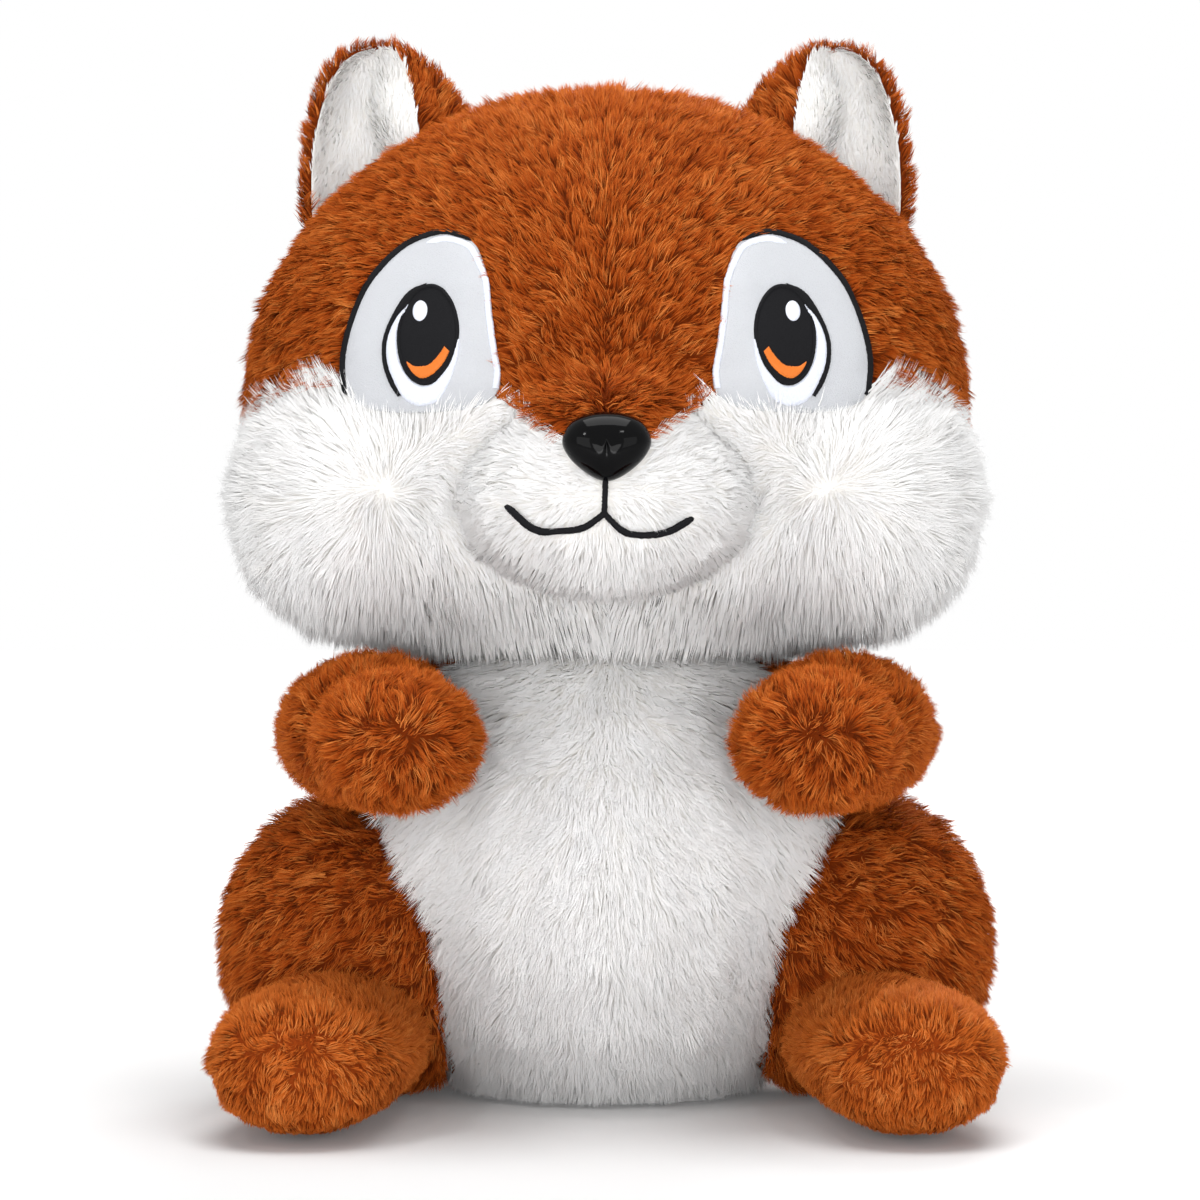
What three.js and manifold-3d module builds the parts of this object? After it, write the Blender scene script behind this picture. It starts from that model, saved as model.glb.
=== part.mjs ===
// Plush squirrel, sitting upright with stubby arms held forward.
// Millimetres, +Z up. The toy faces -Y and its left side is +X.
// The origin is the middle of the flat seat.
import * as THREE from "three";
import { mergeVertices } from "three/addons/utils/BufferGeometryUtils.js";
import Module from "manifold-3d";

const wasm = await Module();
wasm.setup();

// Sewing sizes
const SEAM_GAP = 0.4; // open width of a seam between two panels
const SEAT_GAP = 0.3; // clearance between a piece and what it rests in
const JOINT_GAP = 0.35; // clearance of a rounded root that turns in its room
const SWING_GAP = 1.5; // clearance where a limb swings past the body
const FABRIC = 3; // backing and pressed pile of the long fur fabric
const REACH = 400; // longer than any piece, for cutting tools
const PAST = 5; // how far a short cutting tool runs past what it cuts

// Facets round a form: main outsides, limb outsides, lobes of the head and insides
const FINE = 22;
const MEDIUM = 16;
const LOBE = 14;
const COARSE = 10;

// Head
const CRANIUM = { centre: [0, 0, 262], semi: [138, 111, 116] };
const CHEEK = { centre: [86, -33, 224], semi: [55, 62, 50] };
const CHIN = { centre: [0, -32, 211], semi: [104, 76, 41] };
const MUZZLE = { centre: [0, -100, 221], semi: [53, 47, 33] };
const SNOUT = { centre: [0, -88, 240], semi: [42, 58, 30] };
const MUZZLE_SEAM = 1.6; // the seam round the muzzle lies this far outside its lobe
const HEAD_UNDERSIDE = 172; // height of the flat under the head
const HEAD_BACK_Y = 42; // the back panel starts behind this plane
// Edge of the brown crown over the white face: distance from the middle, height
const FACE_SEAM = [
  [0, 232], [16, 243], [24, 249], [34, 255], [45, 262], [60, 259], [102, 264], [122, 259], [150, 243],
];

// Neck, a stuffed ball on a short column
const NECK_Y = 10;
const NECK_BALL_Z = 185;
const NECK_BALL_R = 57;
const NECK_COLUMN_R = 49;
const NECK_FOOT_Z = 122;
const NECK_FOOT_ROUNDING = 5;
const NOD_DEG = 10;

// Torso, a pear that narrows towards the neck
const TORSO = { centre: [0, 4, 88], semi: [104, 97, 100] };
const TORSO_TOP = 166;
const SEAT_PANEL_SEMI = [46, 43];
// Edge of the white belly: half width, height
const BELLY_EDGE = [[60, -2], [63, 26], [76, 60], [90, 98], [88, 114], [50, 168]];

// Pellet bag in the seat. Its outline is a share of the radius and of the height
const BAG_R = 45;
const BAG_HEIGHT = 46;
const BAG_OUTLINE = [[0.8, 0], [0.97, 0.22], [1, 0.42], [0.86, 0.72], [0.5, 0.92], [0, 1]];

// Arms. Stations of a limb: centre, half width and half height of the section there
const SHOULDER = [87, -38, 136];
const SHOULDER_SEMI = [33, 25, 25];
const ARM_STATIONS = [
  { at: SHOULDER, half: [33, 25] },
  { at: [86.5, -62, 138.5], half: [33, 27.5] },
  { at: [82.5, -84, 139.5], half: [31, 27] },
  { at: [76, -103, 137.5], half: [27.5, 22.5] },
  { at: [72.5, -124, 137], half: [30, 25] },
  { at: [72, -138, 137], half: [26, 22] },
];
const ARM_ENDS = [25, 18]; // how far the rounded ends reach past the first and last stations
const ARM_OPENING_R = 17;
const ARM_OPENING_X = 67; // the opening in the arm's skin ends at this distance from the middle
const ARM_SWING_DEG = 15;

// Legs
const HIP_Y = -15;
const HIP_Z = 57;
const THIGH_INNER_X = 57.8;
const THIGH_WIDTH = 86.5;
const THIGH_R = 57.5;
// Inner side of a thigh, rounding over to its widest: share of the radius and of the width
const THIGH_OUTLINE = [[0.84, 0], [0.93, 0.08], [0.99, 0.27], [1, 0.42]];
const THIGH_OPENING_R = 42;
const FOOT_STATIONS = [
  { at: [89, -44, 29], half: [28, 27] },
  { at: [97.5, -76, 25.5], half: [33, 26] },
  { at: [103.5, -110, 26], half: [35.5, 27] },
  { at: [105, -136, 26], half: [33, 25.5] },
];
const FOOT_ENDS = [10, 28];
const SOLE = { x: 105, z: 14, semi: [31, 26], front: -122 };
const LEG_LIFT_DEG = 18;

// Ears
const EAR = { centre: [84, 6, 348], semi: [41.5, 19, 48] };
const EAR_YAW_DEG = 32;
const EAR_WALL = 5;
const EAR_LINING = 3.5;
const EAR_RIM_Y = -3; // front of the ear cup, from its middle
const EAR_ROOT = { centre: [85, 12, 347], slope_deg: 36, r: 10, length: 50 };
const EAR_FOLD_DEG = 15;

// Eyes, seen from the front
const EYE_PATCH = { x: 66, z: 284, semi: [25.5, 31] };
const EYE_BORDER = 2.2;
const PUPIL = { x: 63.3, z: 279, semi: [11, 18] };
const CRESCENT = { x: 66.3, z: 275.5, semi: [13.5, 19.5] };
const IRIS = { x: 63.3, z: 270, semi: [7.2, 6.5] };
const GLINT = { x: 65.8, z: 287, semi: [2.7, 3.7] };
const EYE_BORDER_START = 2; // the border ends this far above the lowest point of the patch
const EYE_POCKET = 1.4; // depth of the patch in the crown
const THREAD = 0.7; // thickness of the satin stitch

// Nose and mouth
const NOSE_WIDTH = 29.5;
const NOSE_HEIGHT = 21.5;
const NOSE_Z = 237;
const NOSE_BASE_Y = -143;
const NOSE_TILT_DEG = 14;
const NOSE_DOME = 9;
const NOSE_ROUNDING = 5;
const NOSE_TIP_HALF_WIDTH = 1.5;
const POST_R = 2.5;
const POST_LENGTH = 26;
const POST_PAST_WASHER = 3;
const WASHER_R = 7.5;
const WASHER_BEND = 0.6; // the washer is flat out to this share of its radius
const WASHER_THICK = 1.4;
const WASHER_DISH = 1.5;
const STITCH_HALF_WIDTH = 1;
// Mouth line: distance from the middle, height
const MOUTH_MIDDLE = [[0, 225.5], [0, 213.5]];
const MOUTH_CURVE = [[-31, 216], [-24, 210.5], [-15, 208.5], [-7, 209.5], [0, 213.5]];

// Tail, a plume that curls up behind the back
const TAIL_PIVOT = [0, 92, 32];
const TAIL_BALL_R = 20;
const TAIL_STATIONS = [
  { at: TAIL_PIVOT, half: [TAIL_BALL_R, TAIL_BALL_R] },
  { at: [0, 126, 33], half: [33, 23] },
  { at: [0, 156, 58], half: [45, 28] },
  { at: [0, 169, 98], half: [51, 32] },
  { at: [0, 174, 144], half: [52, 33] },
  { at: [0, 183, 186], half: [46, 29] },
  { at: [0, 201, 220], half: [31, 20] },
];
const TAIL_ENDS = [20, 22];
const TAIL_OPENING_R = 12;
const TAIL_TILT_DEG = 25;

// Colours of the fabrics and trims
const FINISHES = {
  brown_fur: { color: 0xa5501e, roughness: 0.95, metalness: 0 },
  short_brown: { color: 0xb4662f, roughness: 0.95, metalness: 0 },
  white_fur: { color: 0xebe8e2, roughness: 0.95, metalness: 0 },
  filling: { color: 0xf2f1ec, roughness: 1, metalness: 0 },
  velboa: { color: 0xf0f2f4, roughness: 0.8, metalness: 0 },
  black_thread: { color: 0x0b0b0d, roughness: 0.5, metalness: 0 },
  white_thread: { color: 0xf7f8fa, roughness: 0.5, metalness: 0 },
  orange_thread: { color: 0xdc7828, roughness: 0.5, metalness: 0 },
  black_plastic: { color: 0x060607, roughness: 0.12, metalness: 0 },
  clear_plastic: { color: 0xd8d8d4, roughness: 0.4, metalness: 0 },
  cotton: { color: 0xd9d2c4, roughness: 0.9, metalness: 0 },
};

const toy = new THREE.Group();
const rad = THREE.MathUtils.degToRad;

// A closed geometry as a solid that can be joined and cut
function solid(geometry) {
  let merged = geometry.clone();
  merged.deleteAttribute("normal");
  merged.deleteAttribute("uv");
  merged = mergeVertices(merged, 1e-4);
  const mesh = new wasm.Mesh({
    numProp: 3,
    vertProperties: new Float32Array(merged.attributes.position.array),
    triVerts: new Uint32Array(merged.index.array),
  });
  return new wasm.Manifold(mesh);
}

// A solid back as a geometry
function shaped(form) {
  const mesh = form.getMesh();
  const geometry = new THREE.BufferGeometry();
  geometry.setAttribute("position", new THREE.BufferAttribute(mesh.vertProperties, 3));
  geometry.setIndex(new THREE.BufferAttribute(mesh.triVerts, 1));
  return geometry;
}

function addPiece(name, form, finish) {
  const geometry = shaped(form);
  geometry.computeVertexNormals();
  const mesh = new THREE.Mesh(geometry, new THREE.MeshStandardMaterial(FINISHES[finish]));
  mesh.name = name;
  toy.add(mesh);
}

function joined(forms) {
  return forms.reduce((whole, form) => whole.add(form));
}

// Rows of facets from pole to pole of a lobe
function rowsFor(around) {
  return Math.round(around * 0.6);
}

// A stuffed lobe: an ellipsoid, larger or smaller by grow, on the given side of the toy
function lobe({ centre, semi }, grow = 0, side = 1, around = MEDIUM) {
  const geometry = new THREE.SphereGeometry(1, around, rowsFor(around));
  geometry.rotateX(Math.PI / 2);
  geometry.scale(semi[0] + grow, semi[1] + grow, semi[2] + grow);
  geometry.translate(centre[0] * side, centre[1], centre[2]);
  return solid(geometry);
}

// How much larger a faceted room is than a faceted roller of radius r that turns in it
function room(r, around) {
  return (r + JOINT_GAP) / Math.cos(Math.PI / around) - r;
}

// The same for a ball that turns in a faceted hollow
function ballRoom(r, around) {
  return room(r, around) + (r / Math.cos(Math.PI / (2 * rowsFor(around))) - r);
}

function block([x0, y0, z0], [x1, y1, z1]) {
  const geometry = new THREE.BoxGeometry(x1 - x0, y1 - y0, z1 - z0);
  geometry.translate((x0 + x1) / 2, (y0 + y1) / 2, (z0 + z1) / 2);
  return solid(geometry);
}

// The space above a height
function above(z) {
  return block([-REACH, -REACH, z], [REACH, REACH, REACH]);
}

// A front-view outline pushed through the toy from y0 to y1
function prism(outline, y0 = -REACH, y1 = 0, curveSegments = 7) {
  const settings = { depth: y1 - y0, bevelEnabled: false, curveSegments };
  const geometry = new THREE.ExtrudeGeometry(outline, settings);
  geometry.rotateX(Math.PI / 2);
  geometry.translate(0, y1, 0);
  return solid(geometry);
}

function ellipseOutline(x, z, semiX, semiZ) {
  return new THREE.Shape().absellipse(x, z, semiX, semiZ, 0, 2 * Math.PI);
}

// Everything above a front-view edge given as [distance from the middle, height]
function aboveEdge(edge, lift) {
  const curve = edge.map(([x, z]) => new THREE.Vector2(x, z + lift));
  const mirrored = curve.slice(1).reverse().map((p) => new THREE.Vector2(-p.x, p.y));
  const outline = new THREE.Shape();
  outline.moveTo(-REACH, REACH * 2);
  outline.lineTo(-REACH, curve.at(-1).y);
  mirrored.concat(curve).forEach((p) => outline.lineTo(p.x, p.y));
  outline.lineTo(REACH, curve.at(-1).y);
  outline.lineTo(REACH, REACH * 2);
  outline.closePath();
  return prism(outline);
}

// A stitched line: its path in front view with an even width
function strokeOutline(points, halfWidth) {
  const path = new THREE.SplineCurve(points.map(([x, z]) => new THREE.Vector2(x, z)));
  const steps = 3 * (points.length - 1);
  const near = [];
  const far = [];
  for (let i = 0; i <= steps; i += 1) {
    const along = path.getTangent(i / steps);
    const here = path.getPoint(i / steps);
    near.push(new THREE.Vector2(here.x - along.y * halfWidth, here.y + along.x * halfWidth));
    far.unshift(new THREE.Vector2(here.x + along.y * halfWidth, here.y - along.x * halfWidth));
  }
  return new THREE.Shape(near.concat(far));
}

// A profile of [radius, height] turned about a vertical line
function turnedOnZ(profile, x, y, around) {
  const geometry = new THREE.LatheGeometry(profile.map(([r, z]) => new THREE.Vector2(r, z)), around);
  geometry.rotateX(Math.PI / 2);
  geometry.translate(x, y, 0);
  return solid(geometry);
}

// A profile of [radius, distance from the middle] turned about a line along X
function turnedOnX(profile, side, y, z, around) {
  const points = profile.map(([r, x]) => new THREE.Vector2(r, x * side));
  const geometry = new THREE.LatheGeometry(side > 0 ? points : points.reverse(), around);
  geometry.rotateZ(-Math.PI / 2);
  geometry.translate(0, y, z);
  return solid(geometry);
}

// A rod along X through a point
function rodOnX(r, x0, x1, y, z) {
  const geometry = new THREE.CylinderGeometry(r, r, x1 - x0, COARSE);
  geometry.rotateZ(Math.PI / 2);
  geometry.translate((x0 + x1) / 2, y, z);
  return solid(geometry);
}

// A stuffed tube that swells and tapers: oval sections along a smooth route, with rounded ends
function stuffedTube(stations, ends, { grow = 0, side = 1, around = MEDIUM, rings }) {
  const centres = stations.map(({ at }) => new THREE.Vector3(at[0] * side, at[1], at[2]));
  const halves = stations.map(({ half }) => new THREE.Vector3(half[0], half[1], 0));
  const route = new THREE.CatmullRomCurve3(centres);
  const girth = new THREE.CatmullRomCurve3(halves);
  const capRings = 3;
  const sections = [];
  for (let i = 1; i < capRings; i += 1) {
    const angle = (Math.PI / 2) * (i / capRings);
    sections.push({ t: 0, reach: -(ends[0] + grow) * Math.cos(angle), size: Math.sin(angle) });
  }
  for (let i = 0; i <= rings; i += 1) {
    sections.push({ t: i / rings, reach: 0, size: 1 });
  }
  for (let i = 1; i < capRings; i += 1) {
    const angle = (Math.PI / 2) * (i / capRings);
    sections.push({ t: 1, reach: (ends[1] + grow) * Math.sin(angle), size: Math.cos(angle) });
  }
  const right = new THREE.Vector3(1, 0, 0);
  const positions = [];
  const faces = [];
  for (const { t, reach, size } of sections) {
    const along = route.getTangent(t);
    const middle = route.getPoint(t).addScaledVector(along, reach);
    const across = right.clone().addScaledVector(along, -right.dot(along)).normalize();
    const up = along.clone().cross(across);
    const half = girth.getPoint(t);
    for (let k = 0; k < around; k += 1) {
      const angle = (2 * Math.PI * k) / around;
      const point = middle.clone();
      point.addScaledVector(across, Math.cos(angle) * (half.x + grow) * size);
      point.addScaledVector(up, Math.sin(angle) * (half.y + grow) * size);
      positions.push(...point);
    }
  }
  for (let i = 0; i < sections.length - 1; i += 1) {
    for (let k = 0; k < around; k += 1) {
      const a = i * around + k;
      const b = i * around + ((k + 1) % around);
      faces.push(a, b, a + around, b, b + around, a + around);
    }
  }
  const last = (sections.length - 1) * around;
  const tips = [[0, 0, -(ends[0] + grow)], [last, 1, ends[1] + grow]];
  for (const [ring, t, reach] of tips) {
    const tip = positions.length / 3;
    positions.push(...route.getPoint(t).addScaledVector(route.getTangent(t), reach));
    for (let k = 0; k < around; k += 1) {
      const a = ring + k;
      const b = ring + ((k + 1) % around);
      faces.push(...(reach > 0 ? [a, b, tip] : [b, a, tip]));
    }
  }
  const geometry = new THREE.BufferGeometry();
  geometry.setAttribute("position", new THREE.Float32BufferAttribute(positions, 3));
  geometry.setIndex(faces);
  return solid(geometry);
}

// The piece without what a neighbour sweeps as the piece turns on its joint
function clearedFor(piece, neighbour, pivot, axis, degrees, steps = 1) {
  const surface = shaped(neighbour);
  let cleared = piece;
  for (let i = 0; i <= steps; i += 1) {
    const turn = new THREE.Matrix4().makeTranslation(...pivot);
    const angle = -rad(degrees[0] + ((degrees[1] - degrees[0]) * i) / steps);
    turn.multiply(new THREE.Matrix4().makeRotationAxis(axis, angle));
    turn.multiply(new THREE.Matrix4().makeTranslation(...pivot.map((value) => -value)));
    cleared = cleared.subtract(solid(surface.clone().applyMatrix4(turn)));
  }
  return cleared;
}

const bothSides = [["left", 1], ["right", -1]];
const sideways = new THREE.Vector3(-1, 0, 0);

// Whole head at a given offset from its surface, cut off under the neck
function headForm(grow, craniumFacets = FINE, lobeFacets = LOBE) {
  const lobes = [
    lobe(CRANIUM, grow, 1, craniumFacets),
    lobe(CHIN, grow, 1, lobeFacets),
    lobe(MUZZLE, grow, 1, lobeFacets),
    lobe(SNOUT, grow, 1, lobeFacets),
    ...bothSides.map(([, side]) => lobe(CHEEK, grow, side, lobeFacets)),
  ];
  return joined(lobes).intersect(aboveHeadUnderside(-grow));
}

// The space above the head's underside, which rises behind the neck so that the head can tip back
function aboveHeadUnderside(lift) {
  const rise = Math.tan(rad(NOD_DEG)) * REACH;
  const outline = new THREE.Shape([
    new THREE.Vector2(-REACH, HEAD_UNDERSIDE + lift),
    new THREE.Vector2(NECK_Y, HEAD_UNDERSIDE + lift),
    new THREE.Vector2(NECK_Y + REACH, HEAD_UNDERSIDE + lift + rise),
    new THREE.Vector2(NECK_Y + REACH, REACH * 2),
    new THREE.Vector2(-REACH, REACH * 2),
  ]);
  const geometry = new THREE.ExtrudeGeometry(outline, { depth: REACH, bevelEnabled: false });
  geometry.rotateX(Math.PI / 2);
  geometry.rotateZ(Math.PI / 2);
  geometry.translate(-REACH / 2, 0, 0);
  return solid(geometry);
}

// Hollow in the head for the ball of the neck
function neckHollow() {
  const ball = { centre: [0, NECK_Y, NECK_BALL_Z], semi: [NECK_BALL_R, NECK_BALL_R, NECK_BALL_R] };
  return lobe(ball, ballRoom(NECK_BALL_R, FINE), 1, FINE);
}

// Cup of an ear about its own upright middle line, moved and yawed to its place
function earPlaced(geometry, side) {
  geometry.rotateZ(rad(EAR_YAW_DEG) * side);
  geometry.translate(EAR.centre[0] * side, EAR.centre[1], EAR.centre[2]);
  return solid(geometry);
}

function earBowl(side, grow) {
  const geometry = new THREE.SphereGeometry(1, COARSE, rowsFor(COARSE));
  geometry.scale(EAR.semi[0] + grow, EAR.semi[1] + grow, EAR.semi[2] + grow);
  return earPlaced(geometry, side);
}

function earBehindRim(side, y) {
  const geometry = new THREE.BoxGeometry(REACH, REACH, REACH);
  geometry.translate(0, y + REACH / 2, 0);
  return earPlaced(geometry, side);
}

// Rolled lower edge of an ear, which lies in a groove of the crown
function earAxis(side) {
  const slope = rad(EAR_ROOT.slope_deg);
  const along = new THREE.Vector3(-Math.cos(slope) * side, 0, Math.sin(slope));
  return along.applyAxisAngle(new THREE.Vector3(0, 0, 1), rad(EAR_YAW_DEG) * side);
}

function earRoot(side, grow) {
  const r = EAR_ROOT.r + grow;
  const geometry = new THREE.CylinderGeometry(r, r, EAR_ROOT.length + 2 * grow, COARSE);
  const turn = new THREE.Quaternion().setFromUnitVectors(new THREE.Vector3(0, 1, 0), earAxis(side));
  geometry.applyQuaternion(turn);
  geometry.translate(EAR_ROOT.centre[0] * side, EAR_ROOT.centre[1], EAR_ROOT.centre[2]);
  return solid(geometry);
}

function buildEars() {
  const crown = lobe(CRANIUM, SWING_GAP, 1, FINE);
  for (const [name, side] of bothSides) {
    const pivot = [EAR_ROOT.centre[0] * side, EAR_ROOT.centre[1], EAR_ROOT.centre[2]];
    const fold = [-EAR_FOLD_DEG, EAR_FOLD_DEG];
    const cleared = (form) => clearedFor(form, crown, pivot, earAxis(side), fold, 2);
    const hollow = earBowl(side, -EAR_WALL);
    const cup = cleared(earBowl(side, 0).intersect(earBehindRim(side, EAR_RIM_Y)));
    const root = earRoot(side, 0);
    addPiece(`ear_back_${name}`, cup.add(root).subtract(hollow), "brown_fur");
    const liningOuter = earBowl(side, -EAR_WALL - SEAT_GAP).intersect(earBehindRim(side, EAR_RIM_Y));
    const lining = liningOuter.subtract(earBowl(side, -EAR_WALL - SEAT_GAP - EAR_LINING));
    addPiece(`ear_inner_${name}`, cleared(lining), "white_fur");
  }
}

// Thin plate that follows the head between two offsets of its surface, inside a front-view outline
function facePlate(outer, inner, outline) {
  return outer.subtract(inner).intersect(prism(outline));
}

function buildEye(name, side, surfaces) {
  const at = (eye, grow = 0) => ellipseOutline(eye.x * side, eye.z, eye.semi[0] + grow, eye.semi[1] + grow);
  const pocket = prism(at(EYE_PATCH, EYE_BORDER + SEAT_GAP)).subtract(surfaces.pocket);
  const patch = facePlate(surfaces.skin, surfaces.floor, at(EYE_PATCH, -SEAT_GAP / 2));
  const border = facePlate(surfaces.thread, surfaces.floor, at(EYE_PATCH, EYE_BORDER));
  const start = EYE_PATCH.z - EYE_PATCH.semi[1] + EYE_BORDER_START;
  const ring = border.subtract(prism(at(EYE_PATCH, SEAT_GAP / 2))).intersect(above(start));
  const stitched = (outline) => facePlate(surfaces.thread, surfaces.onSkin, outline);
  const pupil = stitched(at(PUPIL))
    .subtract(prism(at(IRIS, SEAT_GAP)))
    .subtract(prism(at(GLINT, SEAT_GAP)));
  const crescent = stitched(at(CRESCENT)).subtract(prism(at(PUPIL, SEAT_GAP)));
  addPiece(`eye_white_${name}`, patch, "velboa");
  addPiece(`eye_outline_${name}`, ring, "black_thread");
  addPiece(`pupil_${name}`, pupil, "black_thread");
  addPiece(`eye_crescent_${name}`, crescent, "white_thread");
  addPiece(`iris_${name}`, stitched(at(IRIS)), "orange_thread");
  addPiece(`glint_${name}`, stitched(at(GLINT)), "white_thread");
  return pocket;
}

// A form about the middle of the nose, with its front towards -Y, tipped up and moved to its place
function nosePlaced(geometry) {
  geometry.rotateX(-rad(NOSE_TILT_DEG));
  geometry.translate(0, NOSE_BASE_Y, NOSE_Z);
  return solid(geometry);
}

// Domed plastic of the nose, a rounded triangle with its point down
function noseDome() {
  const half = NOSE_WIDTH / 2 - NOSE_ROUNDING;
  const top = NOSE_HEIGHT / 2 - NOSE_ROUNDING;
  const tip = NOSE_TIP_HALF_WIDTH;
  const outline = new THREE.Shape();
  outline.moveTo(-half, top);
  outline.quadraticCurveTo(0, top + tip, half, top);
  outline.quadraticCurveTo(half, -tip, tip, -top);
  outline.quadraticCurveTo(0, -top - tip, -tip, -top);
  outline.quadraticCurveTo(-half, -tip, -half, top);
  const geometry = new THREE.ExtrudeGeometry(outline, {
    depth: 1,
    bevelThickness: NOSE_DOME - 1,
    bevelSize: NOSE_ROUNDING,
    bevelSegments: 4,
    curveSegments: 4,
  });
  geometry.rotateX(Math.PI / 2);
  return nosePlaced(geometry);
}

// A rod along the post of the nose, from one distance behind its base to another
function rodOnPost(r, from, to) {
  const geometry = new THREE.CylinderGeometry(r, r, to - from, MEDIUM);
  geometry.translate(0, (from + to) / 2, 0);
  return nosePlaced(geometry);
}

// Dished locking washer, pushed over the post behind the fabric
function lockingWasher(from) {
  const bore = POST_R + SEAT_GAP;
  const profile = [
    [bore, from],
    [WASHER_R * WASHER_BEND, from],
    [WASHER_R, from + WASHER_DISH],
    [WASHER_R, from + WASHER_DISH + WASHER_THICK],
    [WASHER_R * WASHER_BEND, from + WASHER_THICK],
    [bore, from + WASHER_THICK],
    [bore, from],
  ];
  const points = profile.map(([r, along]) => new THREE.Vector2(r, along));
  return nosePlaced(new THREE.LatheGeometry(points, COARSE));
}

function buildHead() {
  const outer = headForm(0);
  const inner = headForm(-FABRIC, MEDIUM, COARSE);
  const surfaces = {
    skin: outer,
    onSkin: headForm(SEAT_GAP),
    thread: headForm(SEAT_GAP + THREAD),
    floor: headForm(-EYE_POCKET),
    pocket: headForm(-EYE_POCKET - SEAT_GAP),
  };
  const pockets = bothSides.map(([name, side]) => buildEye(name, side, surfaces));
  const grooves = bothSides.map(([, side]) => earRoot(side, room(EAR_ROOT.r, COARSE)));
  const hollow = neckHollow();
  const postHole = rodOnPost(POST_R + SEAT_GAP, -2 * PAST, POST_LENGTH + PAST);

  // Fur panels, cut out of one skin along the seams
  let skin = outer.subtract(inner).subtract(hollow).subtract(postHole);
  pockets.concat(grooves).forEach((cut) => {
    skin = skin.subtract(cut);
  });
  const behind = block([-REACH, HEAD_BACK_Y + SEAM_GAP, -REACH], [REACH, REACH, REACH * 2]);
  const front = block([-REACH, -REACH, -REACH], [REACH, HEAD_BACK_Y, REACH * 2]);
  const brown = skin.intersect(front).intersect(extendedBack(aboveEdge(FACE_SEAM, SEAM_GAP / 2)));
  const white = skin.intersect(front).subtract(extendedBack(aboveEdge(FACE_SEAM, -SEAM_GAP / 2)));
  const muzzleEdge = (grow) => {
    const [semiX, , semiZ] = MUZZLE.semi.map((value) => value + MUZZLE_SEAM + grow);
    const outline = ellipseOutline(0, MUZZLE.centre[2], semiX, semiZ);
    return prism(outline, -REACH, MUZZLE.centre[1] + MUZZLE.semi[1] - FABRIC);
  };
  addPiece("muzzle", white.intersect(muzzleEdge(0)), "white_fur");
  addPiece("head_back", skin.intersect(behind), "brown_fur");
  for (const [name, side] of bothSides) {
    const half = sideOfMiddle(side);
    addPiece(`crown_${name}`, brown.intersect(half), "brown_fur");
    addPiece(`cheek_${name}`, white.subtract(muzzleEdge(SEAM_GAP)).intersect(half), "white_fur");
  }

  // Filling, with room for the neck, the ears and the washer
  const washerRoom = rodOnPost(WASHER_R + SEAT_GAP, -2 * PAST, POST_LENGTH + SEAT_GAP);
  const filling = headForm(-FABRIC - SEAT_GAP, MEDIUM, COARSE).subtract(hollow).subtract(washerRoom);
  addPiece("head_stuffing", grooves.reduce((left, cut) => left.subtract(cut), filling), "filling");

  // Nose, washer and mouth
  const dome = noseDome().subtract(surfaces.onSkin);
  const post = rodOnPost(POST_R, -PAST, POST_LENGTH);
  addPiece("nose", dome.add(post), "black_plastic");
  const washerFrom = POST_LENGTH - POST_PAST_WASHER - WASHER_THICK;
  addPiece("nose_washer", lockingWasher(washerFrom), "clear_plastic");
  const rightCurve = MOUTH_CURVE.map(([x, z]) => [-x, z]).reverse();
  const line = prism(strokeOutline(MOUTH_MIDDLE, STITCH_HALF_WIDTH))
    .add(prism(strokeOutline(MOUTH_CURVE.concat(rightCurve.slice(1)), STITCH_HALF_WIDTH)));
  addPiece("mouth_stitch", surfaces.thread.subtract(surfaces.onSkin).intersect(line), "black_thread");
}

// A front-half tool carried on to the back of the head
function extendedBack(tool) {
  const geometry = shaped(tool);
  geometry.translate(0, HEAD_BACK_Y + 1, 0);
  return solid(geometry);
}

// The half of space on one side of the middle seam
function sideOfMiddle(side) {
  const x = [SEAM_GAP / 2, REACH].map((value) => value * side).sort((a, b) => a - b);
  return block([x[0], -REACH, -REACH], [x[1], REACH, REACH * 2]);
}

function buildNeck() {
  const arc = [];
  const start = TORSO_TOP + SEAM_GAP;
  const low = Math.asin((start - NECK_BALL_Z) / NECK_BALL_R);
  const steps = 8;
  for (let i = 0; i <= steps; i += 1) {
    const angle = low + ((Math.PI / 2 - low) * i) / steps;
    arc.push([NECK_BALL_R * Math.cos(angle), NECK_BALL_Z + NECK_BALL_R * Math.sin(angle)]);
  }
  arc[steps][0] = 0;
  const column = columnOutline(NECK_COLUMN_R, NECK_FOOT_Z, start);
  addPiece("neck_stuffing", turnedOnZ(column.concat(arc), 0, NECK_Y, FINE), "filling");
}

// Side of the neck column with the rounded edge of its foot
function columnOutline(r, foot, top) {
  return [[0, foot], [r - NECK_FOOT_ROUNDING, foot], [r, foot + NECK_FOOT_ROUNDING], [r, top]];
}

// Room for the neck column in the torso
function neckWell() {
  const top = TORSO_TOP + PAST;
  const r = NECK_COLUMN_R + room(NECK_COLUMN_R, FINE);
  return turnedOnZ([...columnOutline(r, NECK_FOOT_Z - SEAT_GAP, top), [0, top]], 0, NECK_Y, FINE);
}

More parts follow.
